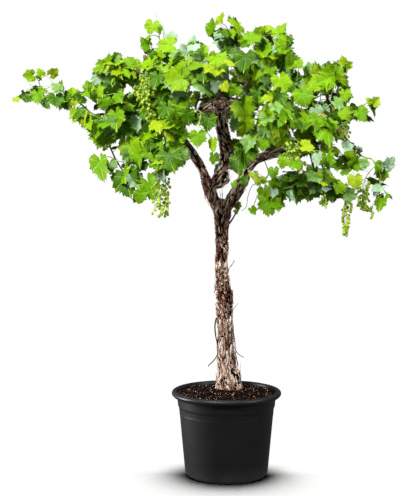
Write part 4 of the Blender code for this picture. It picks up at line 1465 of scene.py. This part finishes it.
# Stems that stand clear in the photograph: kind, depth, half thickness in mm, route in its pixels
keyStems = [
    ("green", -0.05, 1.3, [(50, 87), (40, 86.4), (33, 86.5), (28, 83)]), ("green", -0.05, 1.0, [(34, 86.5), (30, 88), (26, 90)]),
    ("green", -0.04, 1.5, [(61, 90), (55, 86), (50, 79), (46, 75), (43, 72)]), ("green", 0.02, 1.4, [(165, 44), (163, 33), (158, 21), (155, 14)]),
    ("green", 0.02, 1.2, [(166, 46), (165, 36), (163, 25)]), ("green", 0.08, 1.2, [(229, 36), (224, 30), (218, 25)]),
    ("woody", 0.02, 2.0, [(268, 174), (259, 182), (252, 186), (248, 196), (246, 207), (241, 211)]),
    ("green", -0.03, 1.0, [(357, 168), (365, 171), (369, 176), (366, 181), (361, 179), (362, 175)]),
    ("green", -0.03, 1.2, [(334, 150), (345, 157), (357, 164)]), ("green", -0.03, 1.2, [(283, 34), (287, 36), (290, 38)]),
    ("fibre", 0.035, 5.0, [(226, 226), (230, 222.5), (233, 218), (236, 213), (239, 209)]),
    ("fibre", 0.035, 2.2, [(238, 211), (239, 206), (239, 202)]), ("fibre", 0.02, 1.6, [(228, 272), (230, 267), (235, 261)]),
    ("fibre", 0.02, 1.1, [(231, 267), (233, 263), (233.5, 259)]), ("fibre", 0.02, 1.4, [(231, 315), (233, 310), (238.5, 303)]),
    ("fibre", 0.02, 4.0, [(216.5, 318), (215, 326), (215.6, 335), (217.5, 345), (218, 354), (214, 361), (208, 367)]),
    ("fibre", 0.02, 2.6, [(233, 330), (235, 342), (235.5, 350), (239, 355), (244, 358)]),
    ("fibre", 0.02, 2.6, [(235, 352), (237, 360), (238.5, 366)])]


def makeStems(vine, stalks, rng):
    woody, green = [], []
    for run in vine.runs():
        sized = [(vine.places[i], 0.0012 + 0.00046 * vine.loads[i] ** 0.52, vine.loads[i]) for i in run]
        if vine.loads[run[0]] == 0 or sized[0][1] > sized[-1][1] * 3 + 0.01:
            sized[0] = (sized[0][0], sized[1][1], sized[1][2])
        old = [(place, radius) for place, radius, load in sized if load >= crown["woodyFrom"]]
        fresh = [(place, radius) for place, radius, load in sized if load < crown["woodyFrom"] and load > 0]
        if len(old) > 1:
            woody.append(old)
        if old and fresh:
            fresh = [old[-1]] + fresh
        if len(fresh) > 1:
            green.append(fresh)
    stalkRuns = []
    for start, base, tip, face, scale in stalks:
        reach = (base - start).length
        first = start + (base - start) * 0.3 + (Vector((0, 0, 0.10)) + anyWay(rng) * 0.06) * reach
        second = base - (tip * 0.25 + face * 0.12) * reach
        run = []
        for step in range(6):
            s = step / 5
            place = start * (1 - s) ** 3 + first * 3 * s * (1 - s) ** 2 + second * 3 * s * s * (1 - s) + base * s ** 3
            run.append((place, 0.0013 + 0.0004 * (1 - s)))
        stalkRuns.append(run)
    keyRuns = {"woody": [], "green": [], "fibre": []}
    for kind, depth, thick, route in keyStems:
        run = [toWorld(u, v, depth) for u, v in route]
        if kind != "fibre":
            node, gap = vine.nearest(run[0], set(vine.homes))
            if gap < 0.15:
                run.insert(0, vine.places[node])
        knots = [(place, (thick * (1 - 0.5 * i / len(run))) / 1000) for i, place in enumerate(run)]
        keyRuns[kind].append(smoothLine(knots, 0.006))
    woody += keyRuns["woody"]
    green += keyRuns["green"]
    tree = caneTree()
    kinds = [
        # the loose fibres are drawn near black: partly dark old bark, partly painted shade
        ("barkFibres", keyRuns["fibre"], 6, stemFinish("loose fibres of old bark", "#33261E", "#0C0705", 130.0)),
        ("canes", woody, 8, stemFinish("ripened vine cane", "#7A5A42", "#2E1D14", 160.0)),
        ("greenShoots", green, 6, stemFinish("green vine shoot", "#A9C35A", "#7E9A35", 90.0)),
        ("leafStalks", stalkRuns, 5, stemFinish("leaf stalk", "#C9DC8C", "#9DB455", 60.0))]
    for name, runs, sides, finish in kinds:
        obj = runObject(name, runs)
        grown(obj, tree, {"Sides": sides, "Finish": finish})
        settle(obj, "foliage")


vine, leaves, stalks = growCrown()
makeLeaves(leaves)
print("leaves set")


# Bunches of unripe grapes: top of the bunch in the photograph, depth, length and width in metres, berries
bunches = {
    "places": [
        (146, 72, -0.26, 0.125, 0.105, 78), (150, 99, -0.25, 0.085, 0.055, 32), (160, 163, -0.22, 0.215, 0.032, 44),
        (166, 168, -0.20, 0.195, 0.034, 44), (153, 182, -0.18, 0.13, 0.050, 9), (287, 139, -0.27, 0.095, 0.105, 78),
        (345, 192, -0.09, 0.180, 0.044, 64), (364, 179, -0.05, 0.13, 0.068, 64), (324, 194, -0.15, 0.05, 0.03, 9),
        (372, 205, -0.05, 0.05, 0.02, 7), (140, 150, 0.40, 0.15, 0.07, 42), (225, 120, 0.46, 0.16, 0.08, 46),
        (300, 150, 0.44, 0.16, 0.07, 44), (106, 118, 0.16, 0.14, 0.06, 36), (345, 120, 0.16, 0.12, 0.06, 34)],
    "berry": 0.0066,
    "ripe": "#AEC63C",
    "green": "#88A828",
}


def growBunches(vine, rng):
    peduncles, berries = [], []
    homes = set(vine.homes)
    for u, v, depth, length, width, count in bunches["places"]:
        top = toWorld(u, v, depth)
        node, gap = vine.nearest(top + Vector((0, 0, 0.03)), homes)
        begin = vine.places[node]
        bend = begin + (top - begin) * 0.4 + Vector((0, 0, 0.02 + gap * 0.15))
        stem = []
        for step in range(9):
            s = step / 8
            stem.append((begin * (1 - s) ** 2 + bend * 2 * s * (1 - s) + top * s * s, 0.0017))
        foot = top + Vector((rng.uniform(-0.03, 0.04), rng.uniform(-0.1, 0.1), -1)) * length
        sway = Vector((rng.uniform(-1, 1), rng.uniform(-1, 1), 0)) * width * 0.2
        axis = []
        for step in range(1, 13):
            s = step / 12
            axis.append((top.lerp(foot, s) + sway * math.sin(s * math.pi), 0.0017 - 0.0007 * s))
        peduncles.append(stem + axis)
        for berry in range(count):
            s = ((berry + rng.random()) / count) ** 0.85
            start = top.lerp(foot, s) + sway * math.sin(s * math.pi)
            reach = width * 0.5 * math.sin(math.pi * min(0.97, 0.12 + 0.88 * s) ** 0.75) ** 0.6 * rng.uniform(0.35, 1.0)
            turn = rng.uniform(0, 2 * math.pi)
            out = Vector((math.cos(turn), math.sin(turn), 0))
            place = start + out * reach + Vector((0, 0, -0.35 * reach - 0.002))
            if any((place - other[0]).length < bunches["berry"] * 1.55 for other in berries[-count:]):
                place = place + out * bunches["berry"] * 0.9 + Vector((0, 0, -0.003))
            peduncles.append([(start, 0.0008), (start.lerp(place, 0.5) + Vector((0, 0, 0.002)), 0.0007), (place, 0.0008)])
            hang = (place - start).normalized() + Vector((0, 0, -0.6))
            berries.append((place, hang.normalized(), bunches["berry"] * rng.uniform(0.8, 1.12), rng.random()))
    return peduncles, berries


def berryBlank():
    # an oval berry, a little narrower where the stalk joins
    bm = bmesh.new()
    bmesh.ops.create_uvsphere(bm, u_segments=8, v_segments=6, radius=1)
    for vert in bm.verts:
        vert.co.z *= 1.22
        if vert.co.z < 0:
            vert.co.x *= 1 + 0.10 * vert.co.z
            vert.co.y *= 1 + 0.10 * vert.co.z
    mesh = bpy.data.meshes.new("berryBlank")
    bm.to_mesh(mesh)
    bm.free()
    mesh.shade_smooth()
    collection = bpy.data.collections.new("berry blank")
    collection.objects.link(bpy.data.objects.new("berryBlank", mesh))
    return collection


def berryTree():
    tree, inputs = newTree("set berries", [
        ("Berry", "NodeSocketCollection", None), ("Skin", "NodeSocketMaterial", None)])
    turn = addNode(tree, "GeometryNodeInputNamedAttribute", {"data_type": "FLOAT_VECTOR", "Name": "berryTurn"})
    size = addNode(tree, "GeometryNodeInputNamedAttribute", {"data_type": "FLOAT", "Name": "berrySize"})
    facing = addNode(tree, "FunctionNodeEulerToRotation", None, {0: turn.outputs[0]})
    berry = addNode(tree, "GeometryNodeCollectionInfo", {"Separate Children": False, "Reset Children": True},
                    {"Collection": inputs.outputs["Berry"]})
    lay = addNode(tree, "GeometryNodeInstanceOnPoints", None, {
        "Points": inputs.outputs["Geometry"], "Instance": berry.outputs[0], "Rotation": facing.outputs[0],
        "Scale": size.outputs[0]})
    real = addNode(tree, "GeometryNodeRealizeInstances", None, {0: lay.outputs[0]})
    coat = addNode(tree, "GeometryNodeSetMaterial", None, {
        "Geometry": real.outputs[0], "Material": inputs.outputs["Skin"]})
    addNode(tree, "NodeGroupOutput", None, {0: coat.outputs[0]})
    return tree


def makeBerries(berries):
    blank = berryBlank()
    tree = berryTree()
    for name, low, high, colour in (("berriesPale", 0.0, 0.55, bunches["ripe"]), ("berriesGreen", 0.55, 1.01, bunches["green"])):
        chosen = [berry for berry in berries if low <= berry[3] < high]
        obj = meshObject(name, [berry[0] for berry in chosen], [], [])
        addAttribute(obj.data, "berryTurn", "FLOAT_VECTOR",
                     [tuple((-berry[1]).to_track_quat("Z", "Y").to_euler()) for berry in chosen])
        addAttribute(obj.data, "berrySize", "FLOAT", [berry[2] for berry in chosen])
        # hard green grapes have a thin waxy bloom, so the shine is there but soft
        skin, skinTree, shader = newMaterial("unripe grape skin, " + name[7:].lower(), {
            "Base Color": linearColour(colour), "IOR": 1.4})
        place = addNode(skinTree, "ShaderNodeTexCoord")
        bloom = addNode(skinTree, "ShaderNodeTexNoise", {"Scale": 320.0}, {"Vector": place.outputs["Object"]})
        dull = addNode(skinTree, "ShaderNodeMapRange", {"To Min": 0.28, "To Max": 0.50}, {"Value": bloom.outputs[0]})
        skinTree.links.new(dull.outputs[0], shader.inputs["Roughness"])
        grown(obj, tree, {"Berry": blank, "Skin": skin})
        settle(obj, "foliage")
    dropCollection(blank)


stemRng = random.Random(31)
bunchStems, berries = growBunches(vine, stemRng)
makeStems(vine, stalks, stemRng)
bunchObject = runObject("bunchStems", bunchStems)
grown(bunchObject, caneTree(), {"Sides": 5, "Finish": stemFinish("grape bunch stem", "#B4C870", "#8CA548", 80.0)})
settle(bunchObject, "foliage")
makeBerries(berries)
print("bunches hung")
